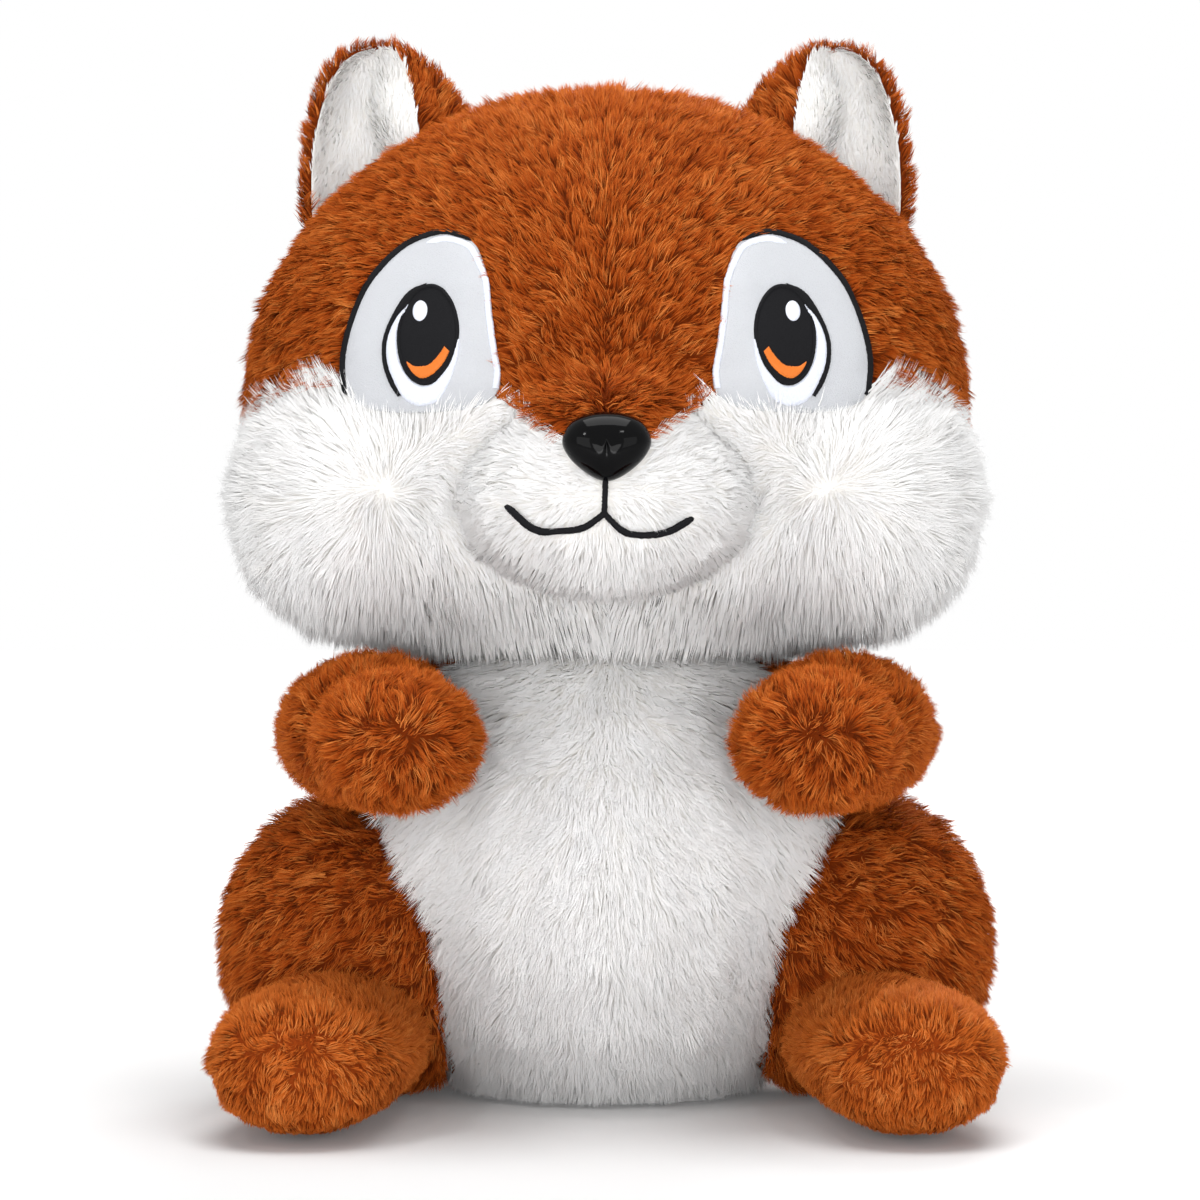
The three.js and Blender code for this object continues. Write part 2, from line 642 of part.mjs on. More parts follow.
// Thigh as turned about the hip line, so it can rock in the torso
function thighForm(side, grow, around = MEDIUM, roomGap = 0) {
  const r = THIGH_R + grow + roomGap;
  const inner = THIGH_INNER_X - grow;
  const outer = THIGH_INNER_X + THIGH_WIDTH + grow + roomGap;
  const flank = THIGH_OUTLINE.map(([share, way]) => [r * share, inner + THIGH_WIDTH * way]);
  const widest = flank.at(-1)[1];
  const profile = [[0, inner], ...flank];
  const steps = 5;
  for (let i = 1; i < steps; i += 1) {
    const angle = (Math.PI / 2) * (i / steps);
    profile.push([r * Math.cos(angle), widest + (outer - widest) * Math.sin(angle)]);
  }
  profile.push([0, outer]);
  return turnedOnX(profile, side, HIP_Y, HIP_Z, around);
}

function torsoForm(grow, around = FINE) {
  return lobe(TORSO, grow, 1, around).intersect(
    block([-REACH, -REACH, Math.max(0, -grow)], [REACH, REACH, TORSO_TOP]),
  );
}

function shoulderForm(side, grow) {
  return lobe({ centre: SHOULDER, semi: SHOULDER_SEMI }, grow, side, MEDIUM);
}

// Hollow in the back for the root of the tail
function tailHollow() {
  const ball = { centre: TAIL_PIVOT, semi: [TAIL_BALL_R, TAIL_BALL_R, TAIL_BALL_R] };
  return lobe(ball, ballRoom(TAIL_BALL_R, MEDIUM), 1, MEDIUM);
}

function buildTorso() {
  const rooms = [neckWell(), tailHollow()];
  bothSides.forEach(([, side]) => {
    rooms.push(thighForm(side, SEAT_GAP, MEDIUM, room(THIGH_R, MEDIUM)));
    rooms.push(shoulderForm(side, ballRoom(SHOULDER_SEMI[1], MEDIUM)));
  });
  const cutAll = (form) => rooms.reduce((left, room) => left.subtract(room), form);
  const skin = cutAll(torsoForm(0).subtract(torsoForm(-FABRIC, MEDIUM)));

  const seatDisc = (grow) => {
    const geometry = new THREE.CylinderGeometry(1, 1, 2 * (FABRIC + 1), FINE);
    geometry.rotateX(Math.PI / 2);
    geometry.scale(SEAT_PANEL_SEMI[0] + grow, SEAT_PANEL_SEMI[1] + grow, 1);
    geometry.translate(TORSO.centre[0], TORSO.centre[1], 0);
    return solid(geometry);
  };
  addPiece("seat_panel", skin.intersect(seatDisc(0)), "short_brown");

  const bellyEdge = (grow) => {
    const side = BELLY_EDGE.map(([x, z]) => new THREE.Vector2(x + grow, z));
    const curve = new THREE.SplineCurve(side).getPoints(18);
    const mirrored = curve.map((p) => new THREE.Vector2(-p.x, p.y)).reverse();
    return prism(new THREE.Shape(curve.concat(mirrored)), -REACH, TORSO.centre[1] + grow);
  };
  const sewn = skin.subtract(seatDisc(SEAM_GAP));
  for (const [name, side] of bothSides) {
    const half = sideOfMiddle(side);
    addPiece(`belly_${name}`, sewn.intersect(bellyEdge(0)).intersect(half), "white_fur");
    addPiece(`back_${name}`, sewn.subtract(bellyEdge(SEAM_GAP)).intersect(half), "brown_fur");
  }

  // Pellet bag on the seat panel, in a pocket of the filling
  const bag = (grow, foot) => {
    const top = FABRIC + SEAT_GAP + BAG_HEIGHT + grow;
    const side = BAG_OUTLINE.map(([share, way]) => [(BAG_R + grow) * share, foot + (top - foot) * way]);
    return turnedOnZ([[0, foot], ...side], 0, TORSO.centre[1], COARSE);
  };
  addPiece("pellet_bag", bag(0, FABRIC + SEAT_GAP), "cotton");
  const pocket = bag(SEAT_GAP, FABRIC);
  const filling = cutAll(torsoForm(-FABRIC - SEAT_GAP, MEDIUM).subtract(pocket));
  addPiece("body_stuffing", filling, "filling");
}

function buildArms() {
  const body = torsoForm(SWING_GAP);
  const root = block([-REACH, SHOULDER[1], -REACH], [REACH, REACH, REACH]);
  for (const [name, side] of bothSides) {
    const pivot = [SHOULDER[0] * side, SHOULDER[1], SHOULDER[2]];
    const tube = (grow, around) => stuffedTube(ARM_STATIONS, ARM_ENDS, { grow, side, around, rings: 7 });
    const swept = (form) => clearedFor(form, body, pivot, sideways, [-ARM_SWING_DEG, 0]);
    const cleared = (form) => swept(form).add(form.intersect(root));
    const x = [0, ARM_OPENING_X].map((value) => value * side).sort((a, b) => a - b);
    const opening = rodOnX(ARM_OPENING_R, x[0], x[1], SHOULDER[1], SHOULDER[2]);
    const fur = cleared(tube(0, MEDIUM)).subtract(tube(-FABRIC, COARSE)).subtract(opening);
    addPiece(`arm_fur_${name}`, fur, "brown_fur");
    addPiece(`arm_stuffing_${name}`, cleared(tube(-FABRIC - SEAT_GAP, COARSE)), "filling");
  }
}

function buildLegs() {
  const body = torsoForm(SWING_GAP);
  const pivot = [0, HIP_Y, HIP_Z];
  for (const [name, side] of bothSides) {
    const x = [0, THIGH_INNER_X + 2 * FABRIC].map((value) => value * side).sort((a, b) => a - b);
    const opening = rodOnX(THIGH_OPENING_R, x[0], x[1], HIP_Y, HIP_Z);
    const thighInside = thighForm(side, -FABRIC, COARSE).intersect(above(FABRIC));
    const thighOutside = thighForm(side, 0).intersect(above(0));
    const thighFilling = thighForm(side, -FABRIC - SEAT_GAP, COARSE).intersect(above(FABRIC + SEAT_GAP));
    addPiece(`thigh_fur_${name}`, thighOutside.subtract(thighInside).subtract(opening), "brown_fur");
    addPiece(`thigh_stuffing_${name}`, thighFilling, "filling");

    const tube = (grow, around) => stuffedTube(FOOT_STATIONS, FOOT_ENDS, { grow, side, around, rings: 4 });
    const thigh = thighForm(side, SEAT_GAP);
    const cleared = (form) => clearedFor(form.subtract(thigh), body, pivot, sideways, [0, LEG_LIFT_DEG]);
    const inside = tube(-FABRIC, COARSE).intersect(above(FABRIC));
    const skin = cleared(tube(0, MEDIUM).intersect(above(0))).subtract(inside);
    const soleEdge = (grow) => prism(
      ellipseOutline(SOLE.x * side, SOLE.z, SOLE.semi[0] + grow, SOLE.semi[1] + grow),
      -REACH,
      SOLE.front + grow,
    );
    addPiece(`foot_fur_${name}`, skin.subtract(soleEdge(SEAM_GAP)), "short_brown");
    addPiece(`foot_sole_${name}`, skin.intersect(soleEdge(0)), "short_brown");
    const filling = cleared(tube(-FABRIC - SEAT_GAP, COARSE).intersect(above(FABRIC + SEAT_GAP)));
    addPiece(`foot_stuffing_${name}`, filling, "filling");
  }
}

function buildTail() {
  const body = torsoForm(SWING_GAP);
  const root = block([-REACH, -REACH, -REACH], [REACH, TAIL_PIVOT[1], REACH]);
  const tube = (grow, around) => stuffedTube(TAIL_STATIONS, TAIL_ENDS, { grow, around, rings: 8 });
  const swept = (form) => clearedFor(form, body, TAIL_PIVOT, sideways, [0, TAIL_TILT_DEG]);
  const cleared = (form) => swept(form).add(form.intersect(root));
  const rootOpening = block(
    [-TAIL_OPENING_R, TAIL_PIVOT[1] - REACH, TAIL_PIVOT[2] - TAIL_OPENING_R],
    [TAIL_OPENING_R, TAIL_PIVOT[1], TAIL_PIVOT[2] + TAIL_OPENING_R],
  );
  const fur = cleared(tube(0, LOBE)).subtract(tube(-FABRIC, COARSE)).subtract(rootOpening);
  addPiece("tail_fur", fur, "brown_fur");
  addPiece("tail_stuffing", cleared(tube(-FABRIC - SEAT_GAP, COARSE)), "filling");
}

buildHead();
buildEars();
buildNeck();
buildTorso();
buildArms();
buildLegs();
buildTail();

export default toy;
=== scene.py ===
import math

import bpy
import numpy as np
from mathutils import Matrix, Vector
from mathutils.bvhtree import BVHTree
from mathutils.kdtree import KDTree


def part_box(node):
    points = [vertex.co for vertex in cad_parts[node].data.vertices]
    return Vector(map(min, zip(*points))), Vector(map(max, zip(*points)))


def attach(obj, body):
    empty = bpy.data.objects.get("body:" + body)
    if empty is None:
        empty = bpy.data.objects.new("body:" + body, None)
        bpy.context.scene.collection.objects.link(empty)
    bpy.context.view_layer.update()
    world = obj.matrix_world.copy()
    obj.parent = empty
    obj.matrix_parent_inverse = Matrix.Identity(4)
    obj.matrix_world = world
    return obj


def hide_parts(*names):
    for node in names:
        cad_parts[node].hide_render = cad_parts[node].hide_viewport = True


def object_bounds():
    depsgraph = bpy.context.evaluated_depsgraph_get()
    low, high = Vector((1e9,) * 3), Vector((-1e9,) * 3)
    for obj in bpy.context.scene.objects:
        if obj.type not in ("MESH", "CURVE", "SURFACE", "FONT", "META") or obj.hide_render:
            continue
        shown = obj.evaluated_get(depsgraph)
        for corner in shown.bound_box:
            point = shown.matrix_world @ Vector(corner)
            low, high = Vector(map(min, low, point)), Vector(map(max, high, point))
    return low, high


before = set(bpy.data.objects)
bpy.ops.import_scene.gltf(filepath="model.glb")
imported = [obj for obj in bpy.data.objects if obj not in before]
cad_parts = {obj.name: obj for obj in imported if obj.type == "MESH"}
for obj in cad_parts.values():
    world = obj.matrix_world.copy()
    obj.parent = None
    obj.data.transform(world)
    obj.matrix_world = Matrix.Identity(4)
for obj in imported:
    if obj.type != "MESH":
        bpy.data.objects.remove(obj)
cad_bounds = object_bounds()
MM = 0.001

# Photographer's table: a camera level with the toy's chin, a white sweep under and behind
# the toy, a wide and a low soft box behind the camera, one on each side with a small catch
# light, a large one overhead, one behind, and white walls all round.
CAMERA_AT = (-2.3 * MM, -1400 * MM, 186 * MM)
LENS_MM, SENSOR_MM = 110.5, 36
SEEN_AS_FAR_AS = 20
WALL_LIGHT = 0.24
SWEEP_WHITE = 0.9
SWEEP_REACH = 12.0
SWEEP_BELOW = 0.4 * MM
NEAR_PAPER, FAR_PAPER = 0.4, 3.0  # distances between which the paper's glow rises, in metres
GLOW_NEAR, GLOW_FAR = 0.04, 0.86


def put(name, data):
    made = bpy.data.objects.new(name, data)
    bpy.context.scene.collection.objects.link(made)
    return made


camera_data = bpy.data.cameras.new("camera")
camera_data.lens = LENS_MM
camera_data.sensor_width = SENSOR_MM
camera_data.clip_end = SEEN_AS_FAR_AS
camera = put("camera", camera_data)
camera.location = CAMERA_AT
camera.rotation_euler = (math.pi / 2, 0, 0)
bpy.context.scene.camera = camera
bpy.context.scene.view_settings.view_transform = "Standard"


def soft_box(name, place, aim, size, watts):
    lamp = bpy.data.lights.new(name, "AREA")
    lamp.shape = "RECTANGLE"
    lamp.size, lamp.size_y = size
    lamp.energy = watts
    box = put(name, lamp)
    box.location = place
    box.rotation_euler = (Vector(aim) - Vector(place)).to_track_quat("-Z", "Y").to_euler()


soft_box("front_box", (0, -2.2, 0.26), (0, 0, 0.15), (1.9, 0.84), 24.5)
soft_box("low_box", (0, -1.7, 0.06), (0, 0, 0.12), (1.3, 0.24), 5)
soft_box("left_box", (-1.35, -1.6, 0.7), (0, 0, 0.2), (1.0, 1.0), 6)
soft_box("right_box", (1.35, -1.6, 0.7), (0, 0, 0.2), (1.0, 1.0), 4)
soft_box("left_catch_light", (-0.75, -1.0, 1.15), (0, 0, 0.2), (0.1, 0.14), 1.2)
soft_box("right_catch_light", (0.5, -1.1, 1.35), (0, 0, 0.2), (0.16, 0.1), 1.0)
soft_box("top_box", (0, -0.2, 2.1), (0, 0, 0.2), (1.6, 1.3), 30)
soft_box("rear_box", (0.5, 1.7, 1.4), (0, 0, 0.2), (1.2, 1.0), 26)


def feed(tree, node, inputs):
    """Sets a shader node's inputs, each to a value or to the output socket it is linked to."""
    for label, value in inputs.items():
        if isinstance(value, bpy.types.NodeSocket):
            tree.links.new(value, node.inputs[label])
        else:
            node.inputs[label].default_value = value


def add_node(tree, kind, inputs=(), **settings):
    made = tree.nodes.new(kind)
    for setting, value in settings.items():
        setattr(made, setting, value)
    feed(tree, made, dict(inputs))
    return made


def add_light(tree, surface, light, end):
    """Shows a surface and a light of its own together."""
    both = add_node(tree, "ShaderNodeAddShader", {0: surface.outputs[0], 1: light.outputs[0]})
    feed(tree, tree.nodes[end], {"Surface": both.outputs[0]})


def white_to_camera(tree, lit, strength):
    """Adds plain white light to a shader for camera, glossy and transmission rays only."""
    path = add_node(tree, "ShaderNodeLightPath")
    mirrored = add_node(tree, "ShaderNodeMath", {
        0: path.outputs["Is Glossy Ray"], 1: path.outputs["Is Transmission Ray"],
    }, operation="MAXIMUM")
    seen = add_node(tree, "ShaderNodeMath", {
        0: path.outputs["Is Camera Ray"], 1: mirrored.outputs[0],
    }, operation="MAXIMUM")
    scaled = add_node(tree, "ShaderNodeMath", {0: seen.outputs[0], 1: strength}, operation="MULTIPLY")
    feed(tree, lit, {"Strength": scaled.outputs[0]})


world = bpy.data.worlds.new("white_walls")
bpy.context.scene.world = world
world.use_nodes = True
walls = world.node_tree
wall_light = walls.nodes["Background"]
feed(walls, wall_light, {"Strength": WALL_LIGHT, "Color": (1, 1, 1, 1)})
wall_white = add_node(walls, "ShaderNodeBackground", {"Color": (1, 1, 1, 1)})
white_to_camera(walls, wall_white, 1 - WALL_LIGHT)
add_light(walls, wall_light, wall_white, "World Output")

sweep_mesh = bpy.data.meshes.new("sweep")
sweep_corners = [(x * SWEEP_REACH, y * SWEEP_REACH, 0) for x, y in ((-1, -1), (1, -1), (1, 1), (-1, 1))]
sweep_mesh.from_pydata(sweep_corners, [], [(0, 1, 2, 3)])
sweep = put("sweep", sweep_mesh)
sweep.location.z = cad_bounds[0][2] - SWEEP_BELOW
sweep_paper = bpy.data.materials.new("sweep_paper")
sweep_paper.use_nodes = True
paper = sweep_paper.node_tree
paper_surface = paper.nodes["Principled BSDF"]
feed(paper, paper_surface, {
    "Base Color": (SWEEP_WHITE,) * 3 + (1,), "Roughness": 0.9, "Specular IOR Level": 0.0,
})
# the lamps reach only the near paper, so the far paper glows more and both look white
paper_place = add_node(paper, "ShaderNodeTexCoord")
paper_reach = add_node(
    paper, "ShaderNodeVectorMath", {0: paper_place.outputs["Object"]}, operation="LENGTH",
)
evened = add_node(paper, "ShaderNodeMapRange", {
    "From Min": NEAR_PAPER, "From Max": FAR_PAPER, "To Min": GLOW_NEAR, "To Max": GLOW_FAR,
    "Value": paper_reach.outputs["Value"],
})
glow = add_node(paper, "ShaderNodeEmission", {"Color": evened.outputs["Result"]})
white_to_camera(paper, glow, 1)
add_light(paper, paper_surface, glow, "Material Output")
sweep_mesh.materials.append(sweep_paper)

# Filling and pellet bag: loose polyester fibre packed into every part, and a cotton bag
# of pellets that weights the seat. They keep the CAD solids and get a matted fibre finish
# and a plain woven one. The torso's filling is finished with the torso, in painted shade.


def material(name, colour, roughness, sheen=0.0, specular=0.5, sheen_tint=(1, 1, 1)):
    made = bpy.data.materials.new(name)
    made.use_nodes = True
    feed(made.node_tree, made.node_tree.nodes["Principled BSDF"], {
        "Base Color": (*colour, 1), "Roughness": roughness, "Sheen Weight": sheen,
        "Sheen Tint": (*sheen_tint, 1), "Specular IOR Level": specular,
    })
    return made


def linear(red, green, blue):
    """A colour as a paint chart gives it, 0 to 255, in the shader's linear numbers."""
    shares = np.array([red, green, blue]) / 255
    return tuple(np.where(shares > 0.04045, ((shares + 0.055) / 1.055) ** 2.4, shares / 12.92))


def shader_group(name, inputs, outputs):
    """An empty shader group with the given sockets, and the nodes at its two ends."""
    group = bpy.data.node_groups.new(name, "ShaderNodeTree")
    for way, sockets in (("INPUT", inputs), ("OUTPUT", outputs)):
        for label, kind in sockets.items():
            group.interface.new_socket(label, in_out=way, socket_type="NodeSocket" + kind)
    return group, add_node(group, "NodeGroupInput").outputs, add_node(group, "NodeGroupOutput")


def grain_group():
    """Shader group: fine mottling and relief, as of matted fibre, felt or a knitted backing."""
    inputs = {"Scale": "Float", "Low": "Color", "High": "Color"}
    group, given, result = shader_group("grain", inputs, {"Colour": "Color", "Height": "Float"})
    place = add_node(group, "ShaderNodeTexCoord")
    specks = add_node(group, "ShaderNodeTexNoise", {
        "Detail": 4, "Vector": place.outputs["Object"], "Scale": given["Scale"],
    })
    tone = add_node(group, "ShaderNodeMix", {
        "Factor": specks.outputs["Fac"], "A": given["Low"], "B": given["High"],
    }, data_type="RGBA")
    feed(group, result, {"Colour": tone.outputs["Result"], "Height": specks.outputs["Fac"]})
    return group


grain = grain_group()


def add_grain(made, scale, depth, low, high):
    tree = made.node_tree
    specks = add_node(tree, "ShaderNodeGroup", node_tree=grain)
    feed(tree, specks, {"Scale": scale, "Low": (*low, 1), "High": (*high, 1)})
    relief = add_node(tree, "ShaderNodeBump", {"Distance": depth, "Height": specks.outputs["Height"]})
    feed(tree, tree.nodes["Principled BSDF"], {
        "Base Color": specks.outputs["Colour"], "Normal": relief.outputs["Normal"],
    })
    return made


fibre = add_grain(
    material("matted_fibre", linear(240, 239, 234), 0.95, sheen=0.2), 260, 0.8 * MM,
    linear(222, 220, 214), linear(250, 249, 246),
)
bag_cotton = add_grain(
    material("bag_cotton", linear(216, 208, 192), 0.9), 900, 0.3 * MM,
    linear(196, 188, 170), linear(228, 221, 207),
)


def finish_node(name, made):
    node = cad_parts[name]
    node.data.materials.clear()
    node.data.materials.append(made)


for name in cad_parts:
    if name.endswith("_stuffing"):
        finish_node(name, fibre)
finish_node("pellet_bag", bag_cotton)

# Torso: two white belly panels and two brown back panels of long-pile fur fabric, sewn
# edge to edge over the filling, and a flat plush seat panel under it. The belly's pile is
# combed away from its middle seam, down and outwards.
BACKING = 0.7 * MM  # thickness of the knitted backing that the pile stands on
BACKING_DEPTH = 2.5 * MM  # how far the backing lies inside the brushed surface
CLEARANCE = BACKING * 1.6  # the least height of the backing's outer side over the filling
VOXEL = 2.6 * MM
ROOT_DEPTH = 0.3 * MM  # how far below the backing's outer side a strand starts
FLOOR_GAP = 0.3 * MM
SWIRL_SIZE, SHADE_SIZE = 24 * MM, 16 * MM  # sizes of the slow swells in direction and in shade
SHADE_FADED = 0.6
AHEAD = 0.04  # how far in front of its root a strand may meet a neighbour, in metres
LEAST_ROOM = 1.5  # the room in mm that pile needs in front of a neighbour
SHARE_OF_ROOM = 0.7
SHORTEST = 0.5  # pile shorter than this, in mm, is left out


def unit(vectors):
    return vectors / np.maximum(np.linalg.norm(vectors, axis=1, keepdims=True), 1e-12)


def places_tree(places):
    tree = KDTree(len(places))
    for i, place in enumerate(places):
        tree.insert(place, i)
    tree.balance()
    return tree


def near_places(line):
    """A measure of how far places are, in mm, from the nearest point of a line."""
    tree = places_tree(line)
    return lambda places: np.array([tree.find(place)[2] for place in places]) / MM


def node_soup(names):
    """Corners and faces of several CAD nodes together, and the node that each face is of."""
    corners, faces, owners = [], [], []
    start = 0
    for name in names:
        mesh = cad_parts[name].data
        co = np.empty(len(mesh.vertices) * 3)
        mesh.vertices.foreach_get("co", co)
        corners.append(co.reshape(-1, 3))
        faces += [[v + start for v in polygon.vertices] for polygon in mesh.polygons]
        owners += [name] * len(mesh.polygons)
        start += len(mesh.vertices)
    return np.concatenate(corners), faces, owners


def solid_tree(names):
    corners, faces, _ = node_soup(names)
    return BVHTree.FromPolygons(corners.tolist(), faces)


def vertex_normals(points, triangles):
    a, b, c = (points[triangles[:, k]] for k in range(3))
    face = np.cross(b - a, c - a)
    total = np.zeros_like(points)
    for k in range(3):
        for axis in range(3):
            total[:, axis] += np.bincount(triangles[:, k], face[:, axis], len(points))
    return unit(total)


class Skin:
    """Smooth backing over the CAD solids of one stuffed part."""

    def __init__(self, names, passes, core):
        corners, faces, _ = node_soup(names)
        mesh = bpy.data.meshes.new("soup")
        mesh.from_pydata(corners.tolist(), [], faces)
        soup = put("soup", mesh)
        remesh = soup.modifiers.new("even", "REMESH")
        remesh.mode = "VOXEL"
        remesh.voxel_size = VOXEL
        bpy.context.view_layer.update()
        even = soup.evaluated_get(bpy.context.evaluated_depsgraph_get()).to_mesh()
        even.calc_loop_triangles()
        points = np.empty(len(even.vertices) * 3)
        even.vertices.foreach_get("co", points)
        points = points.reshape(-1, 3)
        triangles = np.empty(len(even.loop_triangles) * 3, int)
        even.loop_triangles.foreach_get("vertices", triangles)
        triangles = triangles.reshape(-1, 3)
        bpy.data.objects.remove(soup)
        edges = np.unique(np.sort(triangles[:, [0, 1, 1, 2, 2, 0]].reshape(-1, 2), axis=1), axis=0)
        both = np.concatenate([edges, edges[:, ::-1]])
        count = np.bincount(both[:, 0], minlength=len(points))[:, None]
        rough = points.copy()
        for _ in range(passes):
            nearby = np.stack(
                [np.bincount(both[:, 0], points[both[:, 1], k], len(points)) for k in range(3)], axis=1
            )
            points = points + 0.5 * (nearby / count - points)
        normals = vertex_normals(points, triangles)
        shrunk = np.mean(np.sum((rough - points) * normals, axis=1))
        points = points + normals * (shrunk - BACKING_DEPTH)
        self.core = core
        self.settle(self.over_core(points, normals), triangles)

    def pull_in(self, away_mm, depth, width):
        """Draws the backing in beside a seam or crease, as the thread does, but not into the filling."""
        drawn = depth * MM * np.exp(-(away_mm / width) ** 2)
        points = self.points - self.normals * drawn[:, None]
        self.settle(self.over_core(points, self.normals), self.triangles)

    def seam(self, labels, pairs):
        """Measures how far places are, in mm, from the seam between the panels of the given pairs."""
        sides = self.triangles[:, [0, 1, 1, 2, 2, 0]].reshape(-1, 3, 2)
        keys = np.sort(sides, axis=2).reshape(-1, 2)
        keys = keys[:, 0] * len(self.points) + keys[:, 1]
        order = np.argsort(keys, kind="stable")
        owner = np.repeat(np.arange(len(self.triangles)), 3)[order]
        keys = keys[order]
        same = np.nonzero(keys[1:] == keys[:-1])[0]
        one, other = labels[owner[same]], labels[owner[same + 1]]
        met = np.zeros(len(same), bool)
        for a, b in pairs:
            met |= ((one == a) & (other == b)) | ((one == b) & (other == a))
        low, high = keys[same[met]] // len(self.points), keys[same[met]] % len(self.points)
        return near_places((self.points[low] + self.points[high]) / 2)

    def over_core(self, points, normals):
        """Lifts the backing wherever it would cut into the filling."""
        filling = solid_tree(self.core)
        lift = np.zeros(len(points))
        for i, (point, normal) in enumerate(zip(points.tolist(), normals.tolist())):
            at, facing, _, gap = filling.find_nearest(point, 8 * MM)
            if at is None:
                continue
            depth = gap if (Vector(point) - at).dot(facing) > 0 else -gap
            if depth < CLEARANCE and facing.dot(Vector(normal)) > 0.3:
                lift[i] = CLEARANCE - depth
        return points + normals * lift[:, None]

    def settle(self, points, triangles):
        self.points = points
        self.normals = vertex_normals(self.points, triangles)
        self.triangles = triangles
        self.tree = BVHTree.FromPolygons(self.points.tolist(), triangles.tolist())
        a, b, c = (self.points[triangles[:, k]] for k in range(3))
        self.areas = np.linalg.norm(np.cross(b - a, c - a), axis=1) / 2
        self.middles = (a + b + c) / 3
        self.everywhere = np.ones(len(triangles), bool)

    @classmethod
    def from_surface(cls, points, triangles):
        skin = cls.__new__(cls)
        skin.settle(points, triangles)
        return skin

    def panels(self, names, within=4.5 * MM):
        """For each triangle the number of the CAD panel it lies on, or -1 in an opening between them."""
        corners, faces, owners = node_soup(names)
        nearest = BVHTree.FromPolygons(corners.tolist(), faces)
        index = {name: i for i, name in enumerate(names)}
        found = [nearest.find_nearest(m) for m in self.middles]
        return np.array([index[owners[hit[2]]] if hit[3] < within else -1 for hit in found])

    def roots(self, chosen, per_mm2, rng):
        """Points spread evenly over the chosen triangles, with their normals."""
        areas = self.areas * chosen
        count = int(areas.sum() / MM ** 2 * per_mm2)
        picked = rng.choice(len(areas), count, p=areas / areas.sum())
        u, v = rng.random(count), rng.random(count)
        over = u + v > 1
        u[over], v[over] = 1 - u[over], 1 - v[over]
        w = np.stack([1 - u - v, u, v], axis=1)[:, :, None]
        corner = self.triangles[picked]
        place = (self.points[corner] * w).sum(axis=1)
        normal = (self.normals[corner] * w).sum(axis=1)
        return place, normal / np.linalg.norm(normal, axis=1, keepdims=True)


def add_piece(name, points, faces, made, body, slot, *nodes):
    """A visible piece that moves with its body and stands for the given CAD nodes."""
    mesh = bpy.data.meshes.new(name)
    mesh.from_pydata(points, [], faces)
    mesh.shade_smooth()
    mesh.materials.append(made)
    piece = put(name, mesh)
    if nodes:
        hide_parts(*nodes)
    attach(piece, body)
    return piece


def sew_panel(name, skin, chosen, made, body, slot, *nodes):
    """One panel of knitted backing, as thick as the real fabric, lying on the filling."""
    used, faces = np.unique(skin.triangles[chosen], return_inverse=True)
    faces = faces.reshape(-1, 3)
    outer = skin.points[used]
    inner = outer - skin.normals[used] * BACKING
    count = len(used)
    around = np.concatenate([faces[:, [0, 1]], faces[:, [1, 2]], faces[:, [2, 0]]])
    ordered = set(map(tuple, around.tolist()))
    rim = np.array([(a, b) for a, b in ordered if (b, a) not in ordered], int).reshape(-1, 2)
    sides = np.concatenate([
        np.stack([rim[:, 1], rim[:, 0], rim[:, 0] + count], axis=1),
        np.stack([rim[:, 1], rim[:, 0] + count, rim[:, 1] + count], axis=1),
    ])
    whole = np.concatenate([faces, faces[:, ::-1] + count, sides])
    points = np.concatenate([outer, inner])
    piece = add_piece(name, points.tolist(), whole.tolist(), made, body, slot, *nodes)
    return piece


def smooth_noise(places, scale, seed):
    """Slow random swells from -1 to 1 over a surface, from a few crossed waves."""
    rng = np.random.default_rng(seed)
    total = np.zeros(len(places))
    for _ in range(5):
        wave = rng.normal(size=3)
        wave *= 2 * math.pi / scale / np.linalg.norm(wave) * rng.uniform(0.7, 1.5)
        total += np.sin(places @ wave + rng.uniform(0, 2 * math.pi))
    return total / 3


def nearest_head(places, heads):
    """For each place the number of the nearest of the places that are heads."""
    tree = places_tree(places[heads])
    return heads[np.array([tree.find(place)[1] for place in places])]


